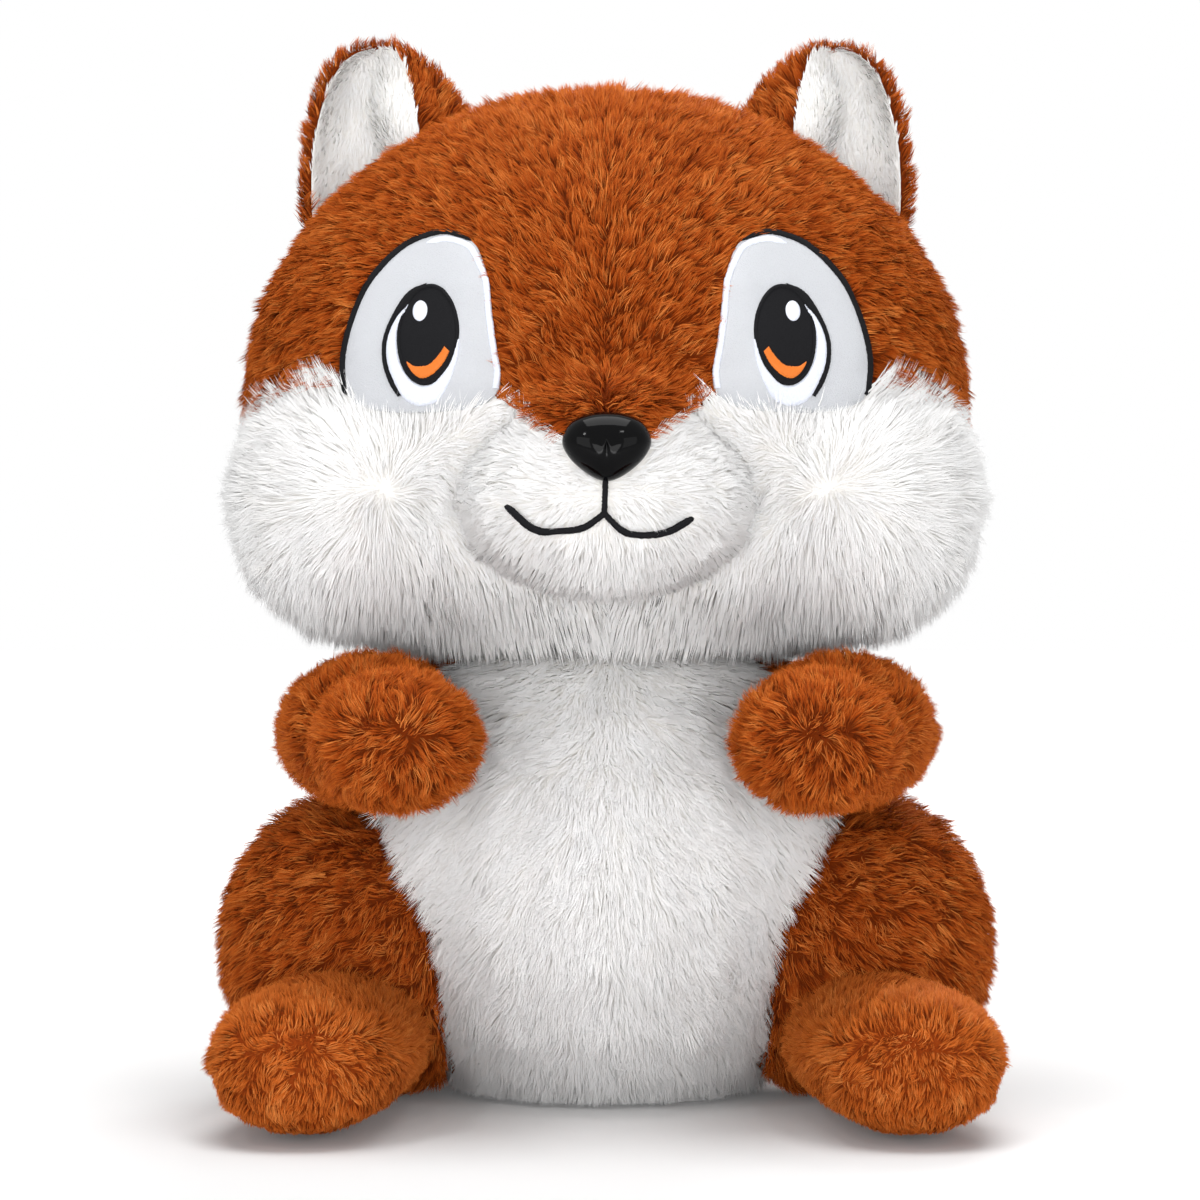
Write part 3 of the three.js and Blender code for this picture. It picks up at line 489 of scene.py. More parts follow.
def grow_pile(name, roots, normals, comb, made, body, slot, length, density, width=0.34, segments=2,
              wisp=1.5, gather=0.6, tuft=4.5, bunch=0.22, lean=(0.55, 1.2), tangle=0.28, rounding=0.6,
              swirl=0.25, ruffle=1.0, hang=0.0, upright=None, seed=1):
    """Real strands of pile: tapering blades that lean with the comb and gather in wisps and tufts."""
    rng = np.random.default_rng(seed)
    count = len(roots)
    length = np.broadcast_to(np.asarray(length, float), (count,)) * MM
    along = unit(comb - normals * np.sum(comb * normals, axis=1, keepdims=True))
    across = np.cross(normals, along)

    wisp_heads = rng.choice(count, max(1, int(count / density / wisp ** 2)), replace=False)
    wisp_of = nearest_head(roots, wisp_heads)
    tuft_heads = rng.choice(wisp_heads, max(1, int(count / density / tuft ** 2)), replace=False)
    tuft_of = nearest_head(roots, tuft_heads)

    def varied(amount_tuft, amount_wisp, amount_strand):
        by_tuft, by_wisp, by_strand = (rng.normal(size=count) for _ in range(3))
        return by_tuft[tuft_of] * amount_tuft + by_wisp[wisp_of] * amount_wisp + by_strand * amount_strand

    turn = smooth_noise(roots, SWIRL_SIZE, seed + 1) * swirl
    turn = turn + varied(tangle * 0.6, tangle * 0.7, tangle * 0.5)
    tilt = varied(0.08, 0.12, 0.1) * ruffle
    if upright:
        tilt -= upright(roots)
    # on an underside the pile leaves the skin and hangs, and light from the front reaches it
    hanging = np.clip(-normals[:, 2:] * 1.3 - 0.1, 0, 1) * hang
    shading = unit(normals + unit(normals * np.array([1, 1, 0])) * hanging)
    size = length * np.clip(1 + varied(0.06, 0.08, 0.09), 0.6, 1.2) * rng.uniform(0.8, 1.0, count)
    shade = 0.5 + varied(0.08, 0.1, 0.12) + 0.1 * smooth_noise(roots, SHADE_SIZE, seed + 2)
    shade = np.clip(shade, 0.01, 0.99)
    heading = unit(along * np.cos(turn)[:, None] + across * np.sin(turn)[:, None])
    rows = [roots - normals * ROOT_DEPTH]
    for k in range(segments):
        angle = lean[0] + (lean[1] - lean[0]) * (k + 0.5) / segments + tilt
        step = normals * np.cos(angle)[:, None] + heading * np.sin(angle)[:, None]
        step = unit(step * (1 - hanging) + np.array([0, -0.12, -1]) * hanging)
        rows.append(rows[-1] + step * (size / segments)[:, None])
    for heads, pull in ((wisp_of, gather), (tuft_of, bunch)):
        for k in range(1, segments + 1):
            share = (k / segments) ** 1.3
            rows[k] = rows[k] + (rows[k][heads] - rows[k]) * pull * share
    for row in rows[1:]:
        row[:, 2] = np.maximum(row[:, 2], cad_bounds[0][2] + FLOOR_GAP)

    # each blade's flat side faces out of the skin, turned a little at random
    twist = np.clip(rng.normal(size=count) * 0.6, -1.3, 1.3)
    facing = normals * np.cos(twist)[:, None] + np.cross(normals, heading) * np.sin(twist)[:, None]
    stride = 2 * segments + 1
    points = np.empty((count, stride, 3))
    soft = np.empty_like(points)
    along_uv = np.empty((count, stride))
    half = width * MM * 0.5 * rng.uniform(0.7, 1.25, count)[:, None]
    for k in range(segments + 1):
        step = unit(rows[min(k + 1, segments)] - rows[max(k - 1, 0)])
        edge = unit(np.cross(step, facing))
        flat = unit(np.cross(edge, step))
        bent = unit(flat * (1 - rounding) + shading * rounding + heading * 0.12)
        if k < segments:
            wide = half * (1 - 0.3 * k / segments)
            points[:, 2 * k] = rows[k] - edge * wide
            points[:, 2 * k + 1] = rows[k] + edge * wide
            soft[:, 2 * k] = unit(bent - edge * 0.2)
            soft[:, 2 * k + 1] = unit(bent + edge * 0.2)
            along_uv[:, 2 * k] = along_uv[:, 2 * k + 1] = k / segments
        else:
            points[:, -1] = rows[k]
            soft[:, -1] = bent
            along_uv[:, -1] = 1
    loops, starts = [], []
    for k in range(segments - 1):
        starts.append(len(loops))
        loops += [2 * k, 2 * k + 1, 2 * k + 3, 2 * k + 2]
    starts.append(len(loops))
    loops += [2 * segments - 2, 2 * segments - 1, 2 * segments]
    base = np.arange(count)[:, None]
    corner = (np.array(loops)[None, :] + base * stride).ravel()
    begin = (np.array(starts)[None, :] + base * len(loops)).ravel()
    mesh = bpy.data.meshes.new(name)
    mesh.vertices.add(count * stride)
    mesh.vertices.foreach_set("co", points.ravel())
    mesh.loops.add(len(corner))
    mesh.loops.foreach_set("vertex_index", corner.astype(np.int32))
    mesh.polygons.add(len(begin))
    mesh.polygons.foreach_set("loop_start", begin.astype(np.int32))
    mesh.update(calc_edges=True)
    mesh.shade_smooth()
    strand_map = mesh.uv_layers.new(name="OFBake")
    place = np.stack([
        np.repeat(shade[:, None], stride, axis=1) + (np.arange(stride) % 2) * 0.004,
        along_uv * 0.98 + 0.01,
    ], axis=2).reshape(-1, 2)[corner]
    strand_map.uv.foreach_set("vector", place.ravel())
    mesh.normals_split_custom_set_from_vertices(soft.reshape(-1, 3))
    mesh.materials.append(made)
    piece = put(name, mesh)
    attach(piece, body)


def strand_colour_group():
    """Shader group: colour of a strand from its root, darker as painted shade deep in the pile, to its tip,
    lighter or darker by its own shade.
    """
    colours = {label: "Color" for label in ("Root", "Middle", "Tip", "Streak")}
    group, given, result = shader_group("strand_colour", colours, {"Colour": "Color"})
    strand = add_node(group, "ShaderNodeUVMap", uv_map="OFBake")
    split = add_node(group, "ShaderNodeSeparateXYZ", {0: strand.outputs[0]})

    def mix(share, a, b):
        made = add_node(group, "ShaderNodeMix", {"Factor": share, "A": a, "B": b}, data_type="RGBA")
        return made.outputs["Result"]

    def blend(axis, low, high, a, b):
        spread = add_node(
            group, "ShaderNodeMapRange", {"From Min": low, "From Max": high, "Value": split.outputs[axis]},
            interpolation_type="SMOOTHSTEP",
        )
        return mix(spread.outputs["Result"], a, b)

    # darker towards the root: painted shade deep in the pile, over the shade that the strands cast on each
    # other
    lower = blend("Y", 0.05, 0.55, given["Root"], given["Middle"])
    whole = blend("Y", 0.5, 1.0, lower, given["Tip"])
    streaked = blend("X", 0.5, 1.0, whole, given["Streak"])
    shadow = blend("X", 0.0, 0.5, given["Root"], streaked)
    feed(group, result, {"Colour": mix(SHADE_FADED, shadow, streaked)})
    return group


strand_colour = strand_colour_group()


def pile_material(name, *chart_colours, roughness=0.75, sheen=0.45):
    """Fur whose strands go from the root's colour, darker as painted shade deep in the pile, to the
    middle's and the tip's colour, some to a streak's.
    """
    root, middle, tip, streak = (linear(*colour) for colour in chart_colours)
    made = material(name, middle, roughness, sheen=sheen, specular=0.06, sheen_tint=tip)
    tree = made.node_tree
    colour = add_node(tree, "ShaderNodeGroup", {
        "Root": (*root, 1), "Middle": (*middle, 1), "Tip": (*tip, 1), "Streak": (*streak, 1),
    }, node_tree=strand_colour)
    feed(tree, tree.nodes["Principled BSDF"], {"Base Color": colour.outputs["Colour"]})
    return made


def backing_material(name, colour, low, high, specular=0.04):
    made = material(name, linear(*colour), 0.95, specular=specular)
    return add_grain(made, 500, 0.4 * MM, linear(*low), linear(*high))


brown_pile = pile_material("brown_pile", (96, 38, 7), (160, 66, 13), (206, 105, 37), (222, 131, 60))
white_pile = pile_material(
    "white_pile", (250, 247, 243), (253, 252, 251), (254, 254, 254), (255, 255, 255),
    roughness=0.9, sheen=0.3,
)
brown_backing = backing_material("brown_backing", (104, 40, 9), (88, 30, 5), (122, 50, 13))
white_backing = backing_material(
    "white_backing", (246, 246, 246), (242, 239, 234), (252, 251, 248), specular=0.1,
)
# a fur fabric: the finish of its backing, the finish of its pile and the slot of both
BROWN_FUR = (brown_backing, brown_pile, "brown_fur")
WHITE_FUR = (white_backing, white_pile, "white_fur")


def clear_of(roots, normals, length, others):
    """Pile length that stops before the neighbouring solids, as pressed pile does."""
    solid = solid_tree(others)
    hits = [solid.ray_cast(root, normal, AHEAD) for root, normal in zip(roots.tolist(), normals.tolist())]
    room = np.array([1.0 if hit[0] is None else hit[3] for hit in hits]) / MM
    return np.where(room < LEAST_ROOM, 0.0, np.minimum(length, room * SHARE_OF_ROOM))


def flow(p, x, y, z):
    """Comb directions at points, each part one number or a number for every point."""
    return np.stack([np.broadcast_to(part, len(p)) for part in (x, y, z)], axis=1)


def grow_on(name, skin, chosen, fur, body, comb, length, density, neighbours=(), seed=1, trim=None,
            rng=None, **pile):
    """The pile of a panel, cut to what is left beside its neighbours, as a piece of its own."""
    _, strands, slot = fur
    roots, normals = skin.roots(chosen, density, rng or np.random.default_rng(seed))
    reach_mm = np.broadcast_to(length(roots) if callable(length) else length, len(roots))
    if neighbours:
        reach_mm = clear_of(roots, normals, reach_mm, neighbours)
    if trim:
        reach_mm = trim(reach_mm, roots, comb(roots))
    kept = reach_mm > SHORTEST
    roots = roots[kept]
    grow_pile(
        name + "_pile", roots, normals[kept], comb(roots), strands, body, slot, reach_mm[kept], density,
        seed=seed, **pile,
    )


def furred_panel(name, skin, chosen, fur, body, *growth, **pile):
    """A panel of fur fabric that stands for the CAD node of its name: its backing and its pile."""
    sew_panel(name, skin, chosen, fur[0], body, fur[2], name)
    grow_on(name, skin, chosen, fur, body, *growth, **pile)


TORSO_PANELS = ["belly_left", "belly_right", "back_left", "back_right", "seat_panel"]
TORSO_SIDES = TORSO_PANELS[:4]
TORSO_NEIGHBOURS = [
    "thigh_fur_left", "thigh_fur_right", "arm_fur_left", "arm_fur_right", "tail_fur", "neck_stuffing",
    "cheek_left", "cheek_right", "foot_fur_left", "foot_fur_right",
]
torso_skin = Skin(TORSO_PANELS + ["body_stuffing", "pellet_bag"], 12, ["body_stuffing", "pellet_bag"])
torso_labels = torso_skin.panels(TORSO_PANELS, 16 * MM)
belly_seam = torso_skin.seam(torso_labels, [(0, 1)])
torso_skin.pull_in(belly_seam(torso_skin.points), 1.3, 3.0)


def belly_comb(p):
    flare = np.interp(p[:, 2] / MM, [0, 70, 150], [0.4, 1.0, 1.5])
    return flow(p, np.tanh(p[:, 0] / 0.045) * flare, 0, -1.0)


def belly_upright(p):
    return 0.4 * np.clip(1 - p[:, 2] / (26 * MM), 0, 1)


def back_comb(p):
    return flow(p, np.sign(p[:, 0]) * 0.15, 0, -1.0)


LONG_WHITE = {
    "width": 0.38, "wisp": 1.6, "gather": 0.25, "tuft": 6, "bunch": 0.08, "lean": (0.95, 1.36),
    "tangle": 0.26, "rounding": 1.0, "ruffle": 0.6,
}
BROWN = {
    "width": 0.31, "wisp": 1.2, "gather": 0.6, "tuft": 4.2, "bunch": 0.4, "lean": (0.55, 1.2),
    "tangle": 0.38, "rounding": 0.6, "ruffle": 1.3,
}

for i, name in enumerate(TORSO_SIDES):
    panel = (name, torso_skin, torso_labels == i)
    if name.startswith("belly"):
        furred_panel(
            *panel, WHITE_FUR, "torso", belly_comb, 12, 2.2, TORSO_NEIGHBOURS, seed=10 + i,
            upright=belly_upright, **LONG_WHITE,
        )
    else:
        furred_panel(
            *panel, BROWN_FUR, "torso", back_comb, 8.5, 1.15, TORSO_NEIGHBOURS, seed=10 + i, **BROWN,
        )
sew_panel(
    "seat_panel", torso_skin, torso_labels == 4, brown_backing, "torso", "short_brown_plush", "seat_panel"
)

# the filling shows in a thin line beside the limbs and the collar, so it is painted the dark brown of the
# backing rather than its own white: painted shade in those gaps
finish_node("body_stuffing", brown_backing)

# Neck: a narrow sleeve of fur fabric over the neck's filling, white in front and brown
# behind, so that no filling shows between the collar of the torso and the chin.
NECK_SHOWN = (152 * MM, 186 * MM)
neck_skin = Skin(["neck_stuffing"], 4, ["neck_stuffing"])
shown = (neck_skin.middles[:, 2] > NECK_SHOWN[0]) & (neck_skin.middles[:, 2] < NECK_SHOWN[1])
behind = neck_skin.middles[:, 1] > np.mean(neck_skin.middles[shown, 1])


def neck_comb(p):
    return flow(p, 0, 0, -1.0)


for name, chosen, fur in (
    ("neck_sleeve_front", shown & ~behind, WHITE_FUR), ("neck_sleeve_back", shown & behind, BROWN_FUR),
):
    sew_panel(name, neck_skin, chosen, fur[0], "neck", fur[2])
    grow_on(
        name, neck_skin, chosen, fur, "neck", neck_comb, 3.0, 1.5, seed=26, rng=np.random.default_rng(25),
        width=0.4,
    )

# Legs: a round thigh of long-pile fur over the hip and a foot of shorter, lighter pile,
# closed at the front by an oval sole panel. Both are sewn on and filled with fibre.
SIDES = (("left", 1), ("right", -1))
FRONT = -0.3  # a place in front of the whole toy, from which its surface is found
FOOT_PARTING = [(72, 33), (80, 37.5), (88, 40.5), (101, 43.5), (114, 43), (124, 38.5)]
FOOT_PILE = {
    "width": 0.32, "wisp": 1.1, "gather": 0.5, "tuft": 4, "bunch": 0.35, "lean": (0.6, 1.2),
    "tangle": 0.4, "rounding": 0.7, "swirl": 0.5, "ruffle": 1.3,
}
SHORT_FUR = (
    backing_material("short_brown_backing", (132, 54, 14), (112, 42, 9), (150, 64, 19)),
    pile_material("short_brown_pile", (116, 50, 12), (184, 86, 26), (216, 116, 46), (226, 136, 66)),
    "short_brown_plush",
)


def run_along(line):
    """How long a line is up to each of its points."""
    return np.concatenate([[0], np.cumsum(np.linalg.norm(np.diff(line, axis=0), axis=1))])


def at_lengths(lengths, run, line):
    return np.stack([np.interp(lengths, run, line[:, axis]) for axis in range(line.shape[1])], axis=1)


def smooth_curve(corners, count, closed=False):
    """Even points along a rounded curve through the given corners."""
    corners = np.asarray(corners, float)
    if closed:
        corners = np.concatenate([corners[-1:], corners, corners[:2]])
    else:
        before = 2 * corners[:1] - corners[1:2]
        after = 2 * corners[-1:] - corners[-2:-1]
        corners = np.concatenate([before, corners, after])
    spans = len(corners) - 3
    t = np.linspace(0, spans, spans * 40 + 1)
    k = np.minimum(t.astype(int), spans - 1)
    f = (t - k)[:, None]
    a, b, c, d = corners[k], corners[k + 1], corners[k + 2], corners[k + 3]
    fine = 0.5 * (
        2 * b + (c - a) * f + (2 * a - 5 * b + 4 * c - d) * f ** 2 + (3 * b - a - 3 * c + d) * f ** 3
    )
    run = run_along(fine)
    even = at_lengths(np.linspace(0, run[-1], count + 1 if closed else count), run, fine)
    return even[:-1] if closed else even


def on_front(places, skin):
    """The points of a skin in front of the given x and z, in mm."""
    return np.array([skin.tree.ray_cast((x * MM, FRONT, z * MM), (0, 1, 0))[0] for x, z in places])


for side_name, side in SIDES:
    body = f"leg_{side_name}"
    thigh, foot, sole = f"thigh_fur_{side_name}", f"foot_fur_{side_name}", f"foot_sole_{side_name}"
    thigh_filling, foot_filling = f"thigh_stuffing_{side_name}", f"foot_stuffing_{side_name}"
    thigh_skin = Skin([thigh, thigh_filling], 10, [thigh_filling])
    crease_line = [
        (side * (119 + 2 * math.sin(math.pi * k / 30)), 100 - 1.7 * k) for k in range(31)
    ]
    thigh_crease = near_places(on_front(crease_line, thigh_skin))
    thigh_skin.pull_in(thigh_crease(thigh_skin.points), 2.0, 5.0)

    def thigh_comb(p):
        return flow(p, 0.75 * side, 0.1, -0.8)

    def thigh_length(p):
        return np.minimum(8.5, 5.0 + 0.5 * thigh_crease(p))

    furred_panel(
        thigh, thigh_skin, thigh_skin.everywhere, BROWN_FUR, body, thigh_comb, thigh_length, 1.8,
        [foot, foot_filling, *TORSO_SIDES], seed=30 + side, **BROWN,
    )
    foot_skin = Skin([foot, sole, foot_filling], 8, [foot_filling])
    labels = foot_skin.panels([foot, sole])
    sole_seam = foot_skin.seam(labels, [(0, 1)])
    foot_skin.pull_in(sole_seam(foot_skin.points), 1.5, 3.2)
    parting = on_front([(side * x, z) for x, z in smooth_curve(FOOT_PARTING, 40)], foot_skin)
    parting_gap = near_places(parting)

    def foot_comb(p):
        gaps = np.linalg.norm(p[:, None, :] - parting[None, :, :], axis=2)
        away = p - parting[np.argmin(gaps, axis=1)]
        away[:, 1] = np.abs(away[:, 1]) + 0.004
        return away

    def foot_upright(p):
        return 0.5 * np.exp(-(parting_gap(p) / 5) ** 2)

    for label, name, pile_mm in ((0, foot, 6.4), (1, sole, 5.0)):
        def foot_length(p):
            beside_seam = np.minimum(pile_mm, 3.2 + 0.5 * sole_seam(p))
            return np.minimum(beside_seam, 1.8 + 0.2 * p[:, 2] / MM)

        furred_panel(
            name, foot_skin, labels == label, SHORT_FUR, body, foot_comb, foot_length, 2.4, [thigh],
            seed=50 + label + side, rng=np.random.default_rng(40 + label + side), upright=foot_upright,
            **FOOT_PILE,
        )

# Tail: one tube of long-pile fur on a stuffed core, sewn to the back at its narrow root.
# It curls up behind the back, and its pile is brushed out towards the tip.
tail_skin = Skin(["tail_fur", "tail_stuffing"], 10, ["tail_stuffing"])


def tail_comb(p):
    return flow(p, p[:, 0] * 8, 0.25, 1.0)


furred_panel(
    "tail_fur", tail_skin, tail_skin.everywhere, BROWN_FUR, "tail", tail_comb, 12, 1.0,
    ["back_left", "back_right"], seed=60, width=0.42, wisp=2, tuft=6, bunch=0.35, swirl=0.4,
)

# Arms: short stuffed tubes of long-pile fur, sewn on at the shoulder and held forward.
# The pile starts from two whorls at the end of the paw and is brushed back up the arm.
PAW_CREASE_Y = -106
PAW_WHORLS = [(88, 0, 143), (66, 1, 142.5)]  # sideways, behind the front of the paw, and up
ARM_PILE = {**BROWN, "tangle": 0.55, "lean": (0.55, 1.15), "swirl": 0.9}


def paw_crease(p):
    return np.abs(p[:, 1] / MM - PAW_CREASE_Y)


def arm_length(p):
    return np.minimum(8.0, 3.5 + 0.45 * paw_crease(p))


for side_name, side in SIDES:
    name, filling = f"arm_fur_{side_name}", f"arm_stuffing_{side_name}"
    arm_skin = Skin([name, filling], 8, [filling])
    arm_skin.pull_in(paw_crease(arm_skin.points), 3.0, 5.0)
    paw_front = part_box(name)[0][1] / MM
    whorls = np.array([(side * x, paw_front + y, z) for x, y, z in PAW_WHORLS]) * MM

    def paw_upright(p):
        gaps = np.linalg.norm(p[:, None, :] - whorls[None, :, :], axis=2).min(axis=1) / MM
        return 0.5 * np.exp(-(gaps / 6) ** 2)

    def arm_comb(p):
        total = np.zeros_like(p)
        for whorl in whorls:
            away = p - whorl
            total += away / (np.sum(away ** 2, axis=1, keepdims=True) + 0.004 ** 2)
        total[:, 1] += 18
        return total

    furred_panel(
        name, arm_skin, arm_skin.everywhere, BROWN_FUR, f"arm_{side_name}", arm_comb, arm_length, 2.1,
        TORSO_SIDES, seed=70 + side, upright=paw_upright, **ARM_PILE,
    )

# Head: brown crown panels meet at a seam down the forehead, a brown panel closes the
# back, long white cheek panels wrap the sides and the muzzle is a mound of shorter white
# pile. All are sewn edge to edge over one filling.
HEAD_PANELS = ["crown_left", "crown_right", "head_back", "cheek_left", "cheek_right", "muzzle"]
EYE_PARTS = ["eye_white_left", "eye_white_right", "eye_outline_left", "eye_outline_right"]
head_skin = Skin(HEAD_PANELS + EYE_PARTS + ["head_stuffing"], 14, ["head_stuffing"])
head_labels = head_skin.panels(HEAD_PANELS)
muzzle_seam = head_skin.seam(head_labels, [(5, 3), (5, 4)])
head_skin.pull_in(muzzle_seam(head_skin.points), 3.0, 4.5)
SNOUT_CREASE_Z = ([0, 14, 30, 42], [272, 271, 267.5, 262])
snout_crease = near_places(on_front(
    [(x, np.interp(abs(x), *SNOUT_CREASE_Z)) for x in np.linspace(-42, 42, 85)], head_skin,
))
head_skin.pull_in(snout_crease(head_skin.points), 1.8, 3.5)


def crown_comb(p):
    """Away from the forehead seam: rising beside it, level over the eyes and falling at the temples."""
    x = np.abs(p[:, 0]) / MM
    rise = np.radians(np.interp(x, [0, 5, 30, 75, 125], [86, 60, 32, 2, -50]))
    snout = np.clip((p[:, 1] + 0.112) / -0.02, 0, 1) * np.clip((0.268 - p[:, 2]) / 0.012, 0, 1)
    rise = rise * (1 - snout) - np.radians(35) * snout
    out = np.sign(p[:, 0]) * np.cos(rise)
    back = np.clip((p[:, 2] - 0.3) / 0.08, 0, 1) + np.clip((p[:, 1] + 0.02) / 0.05, 0, 1) * 0.6
    return np.stack([out, back, np.sin(rise)], axis=1)


def crown_length(p):
    """Longer on top of the head and clipped beside the crease over the snout."""
    whole = 7.5 + 3.0 * np.clip((p[:, 2] - 0.345) / 0.035, 0, 1)
    return np.where(p[:, 1] < -0.05, np.minimum(whole, 4.0 + 0.6 * snout_crease(p)), whole)


def crown_upright(p):
    return 0.35 * np.exp(-(p[:, 0] / (4 * MM)) ** 2)


def back_of_head_comb(p):
    return flow(p, p[:, 0] * 2, 0.2, -1.0)


CHEEK_WHORL = (0.0785, 0.2268)  # sideways and up, in metres


def from_cheek_whorl(p):
    return np.abs(p[:, 0]) - CHEEK_WHORL[0], p[:, 2] - CHEEK_WHORL[1]


def cheek_comb(p):
    out, up = from_cheek_whorl(p)
    behind = 0.015 + np.clip(0.8 * (p[:, 1] + 0.075), 0, 0.07)
    return flow(p, np.sign(p[:, 0]) * out, behind, up)


def cheek_upright(p):
    gap = np.hypot(*from_cheek_whorl(p)) / MM
    return 0.45 * np.exp(-(gap / 9) ** 2)


def muzzle_comb(p):
    return flow(p, p[:, 0] + np.sign(p[:, 0]) * 0.006, 0.02, p[:, 2] - 0.228)


EYE_OUTLINE = [
    (47.6, 313.1), (55.8, 316.6), (63.5, 315.8), (71.3, 312.6), (79, 306), (85.6, 297.4), (90.3, 286),
    (93.3, 272.4), (93, 262), (89, 256), (78, 253), (62, 252.5), (46, 254), (38.3, 259), (37.5, 266),
    (38.9, 276), (40.4, 288), (41.6, 298), (44, 307),
]
eye_edge = smooth_curve(EYE_OUTLINE, 120, closed=True) * MM


def eye_distance(places):
    """How far points are outside the eye's outline, seen from the front and in mm, and the way in."""
    flat = np.stack([np.abs(places[:, 0]), places[:, 2]], axis=1)
    reach = np.linalg.norm(flat[:, None, :] - eye_edge[None, :, :], axis=2)
    nearest = reach.argmin(axis=1)
    x, z = flat[:, :1], flat[:, 1:]
    edge_x, low = eye_edge[None, :, 0], eye_edge[None, :, 1]
    next_x, high = (np.roll(eye_edge[:, k], -1)[None, :] for k in (0, 1))
    cross = edge_x + (z - low) / (high - low + 1e-12) * (next_x - edge_x)
    inside = (((low > z) != (high > z)) & (x < cross)).sum(axis=1) % 2 == 1
    distance = reach[np.arange(len(flat)), nearest] * np.where(inside, -1, 1)
    return distance / MM, unit(eye_edge[nearest] - flat)


def round_eyes(reach_mm, roots, combed, over=1.2):
    """Trims pile beside the eyes, so that it overlaps the patch by no more than a fringe."""
    distance, inward = eye_distance(roots)
    ahead = combed[:, [0, 2]] * np.stack([np.sign(roots[:, 0]), np.ones(len(roots))], axis=1)
    towards = np.maximum(np.sum(unit(ahead) * inward, axis=1), 0.12)
    trimmed = np.minimum(reach_mm, (distance + over) / towards)
    trimmed = np.where(distance < 0.3, 0, trimmed)
    return np.where(roots[:, 1] < 0, trimmed, reach_mm)


MOUTH_LINES = [
    [(-0.3, 228.5), (-0.6, 222), (-0.8, 216.1)],
    [(-0.8, 216.1), (-7.6, 211.8), (-16.1, 210.5), (-24.4, 211.7), (-32.9, 218.9)],
    [(-0.8, 216.1), (5.3, 210.8), (12.8, 209.1), (21.1, 211), (28.2, 215)],
]


def round_mouth(reach_mm, roots, combed):
    """Thins the muzzle's pile on the mouth's line and where the nose is pushed in."""
    flat = roots[:, [0, 2]] / MM
    near = np.full(len(roots), 1e3)
    for line in MOUTH_LINES:
        for place in smooth_curve(line, 60):
            near = np.minimum(near, np.linalg.norm(flat - place, axis=1))
    shorter = np.where(near < 0.9, 0, np.minimum(reach_mm, 2.6 + near * 0.9))
    shorter = np.minimum(shorter, 3.4 + 0.5 * muzzle_seam(roots))
    nose = np.hypot(flat[:, 0] / 13.0, (flat[:, 1] - 237) / 9.5)
    return np.where(nose < 1, 0, shorter)


def trim_cheek(reach_mm, roots, combed):
    """Cheek pile is clipped beside the muzzle and falls a little way over the eye patch."""
    shorter = np.minimum(reach_mm, 5.0 + 0.6 * muzzle_seam(roots))
    return round_eyes(shorter, roots, combed, over=3)


CHEEK_NEIGHBOURS = ["arm_fur_left", "arm_fur_right", "belly_left", "belly_right", "neck_stuffing"]
MUZZLE_PILE = {
    "width": 0.36, "wisp": 1.4, "gather": 0.4, "tuft": 5, "bunch": 0.15, "rounding": 1.0,
    "lean": (0.8, 1.3), "tangle": 0.3, "ruffle": 0.7,
}
for i, name in enumerate(HEAD_PANELS):
    panel = (name, head_skin, head_labels == i)
    if name.startswith("crown"):
        furred_panel(
            *panel, BROWN_FUR, "head", crown_comb, crown_length, 2.1, seed=80 + i, trim=round_eyes,
            upright=crown_upright, **BROWN,
        )
    elif name == "head_back":
        furred_panel(*panel, BROWN_FUR, "head", back_of_head_comb, 8.5, 1.15, seed=80 + i, **BROWN)
    elif name.startswith("cheek"):
        furred_panel(
            *panel, WHITE_FUR, "head", cheek_comb, 13, 1.8, CHEEK_NEIGHBOURS, seed=80 + i, trim=trim_cheek,
            hang=0.75, upright=cheek_upright, **LONG_WHITE,
        )
    else:
        furred_panel(
            *panel, WHITE_FUR, "head", muzzle_comb, 7, 2.6, seed=80 + i, trim=round_mouth, hang=0.5,
            **MUZZLE_PILE,
        )

# Eyes: a patch of short white velboa sewn on the fur, a satin-stitched border, black
# round the top and outside and white round the inside, and an embroidered pupil with a
# white crescent, an orange iris and a small glint. Every thread lies across its line.
THREAD = 0.42  # mm between two stitches
ROWS_PER_STITCH = 4  # rows of points along the band that round one thread
THREAD_RELIEF = 0.11
RAGGED = 0.05  # how unevenly the threads end, in mm
facing_places = places_tree(head_skin.points.tolist())


def smooth_facing(at):
    found = facing_places.find_n(at, 6)
    return unit(sum(head_skin.normals[i] / (gap + 0.5 * MM) for _, i, gap in found)[None, :])[0]


def on_head(x, z, lift):
    """The point in front of x, z on the head's backing, in metres, raised by the lift in mm."""
    at, _, _, _ = head_skin.tree.ray_cast((x * MM, FRONT, z * MM), (0, 1, 0))
    return np.array(at + Vector(smooth_facing(at)) * lift * MM)


def sew_on_head(name, points, faces, finish, *nodes):
    made, slot = finish
    return add_piece(name, np.array(points).tolist(), faces, made, "head", slot, *nodes)


def ring_faces(rows, count, first=0):
    """The faces between closed rows of points."""
    return [
        (start + k, start + (k + 1) % count, start + count + (k + 1) % count, start + count + k)
        for start in range(first, first + (rows - 1) * count, count) for k in range(count)
    ]


def sewn_disc(name, side, nodes, edge, lift, crown, finish, rings):
    """A piece of cloth or a field of stitches inside a closed edge, lying on the head."""
    centre = edge.mean(axis=0)
    shares = np.sin(np.linspace(0, 1, rings + 1)[1:] * math.pi / 2)
    rows = [centre + (edge - centre) * share for share in shares]
    heights = [lift + crown * math.sqrt(max(0.0, 1 - share ** 8)) for share in shares]
    rows.append(edge)
    heights.append(lift - 1.2)
    points = [on_head(centre[0] * side, centre[1], lift + crown)]
    for row, height in zip(rows, heights):
        points += [on_head(x * side, z, height) for x, z in row]
    count = len(edge)
    faces = [(0, 1 + (k + 1) % count, 1 + k) for k in range(count)] + ring_faces(len(rows), count, 1)
    if side > 0:
        faces = [face[::-1] for face in faces]
    return sew_on_head(name, points, faces, finish, *nodes)


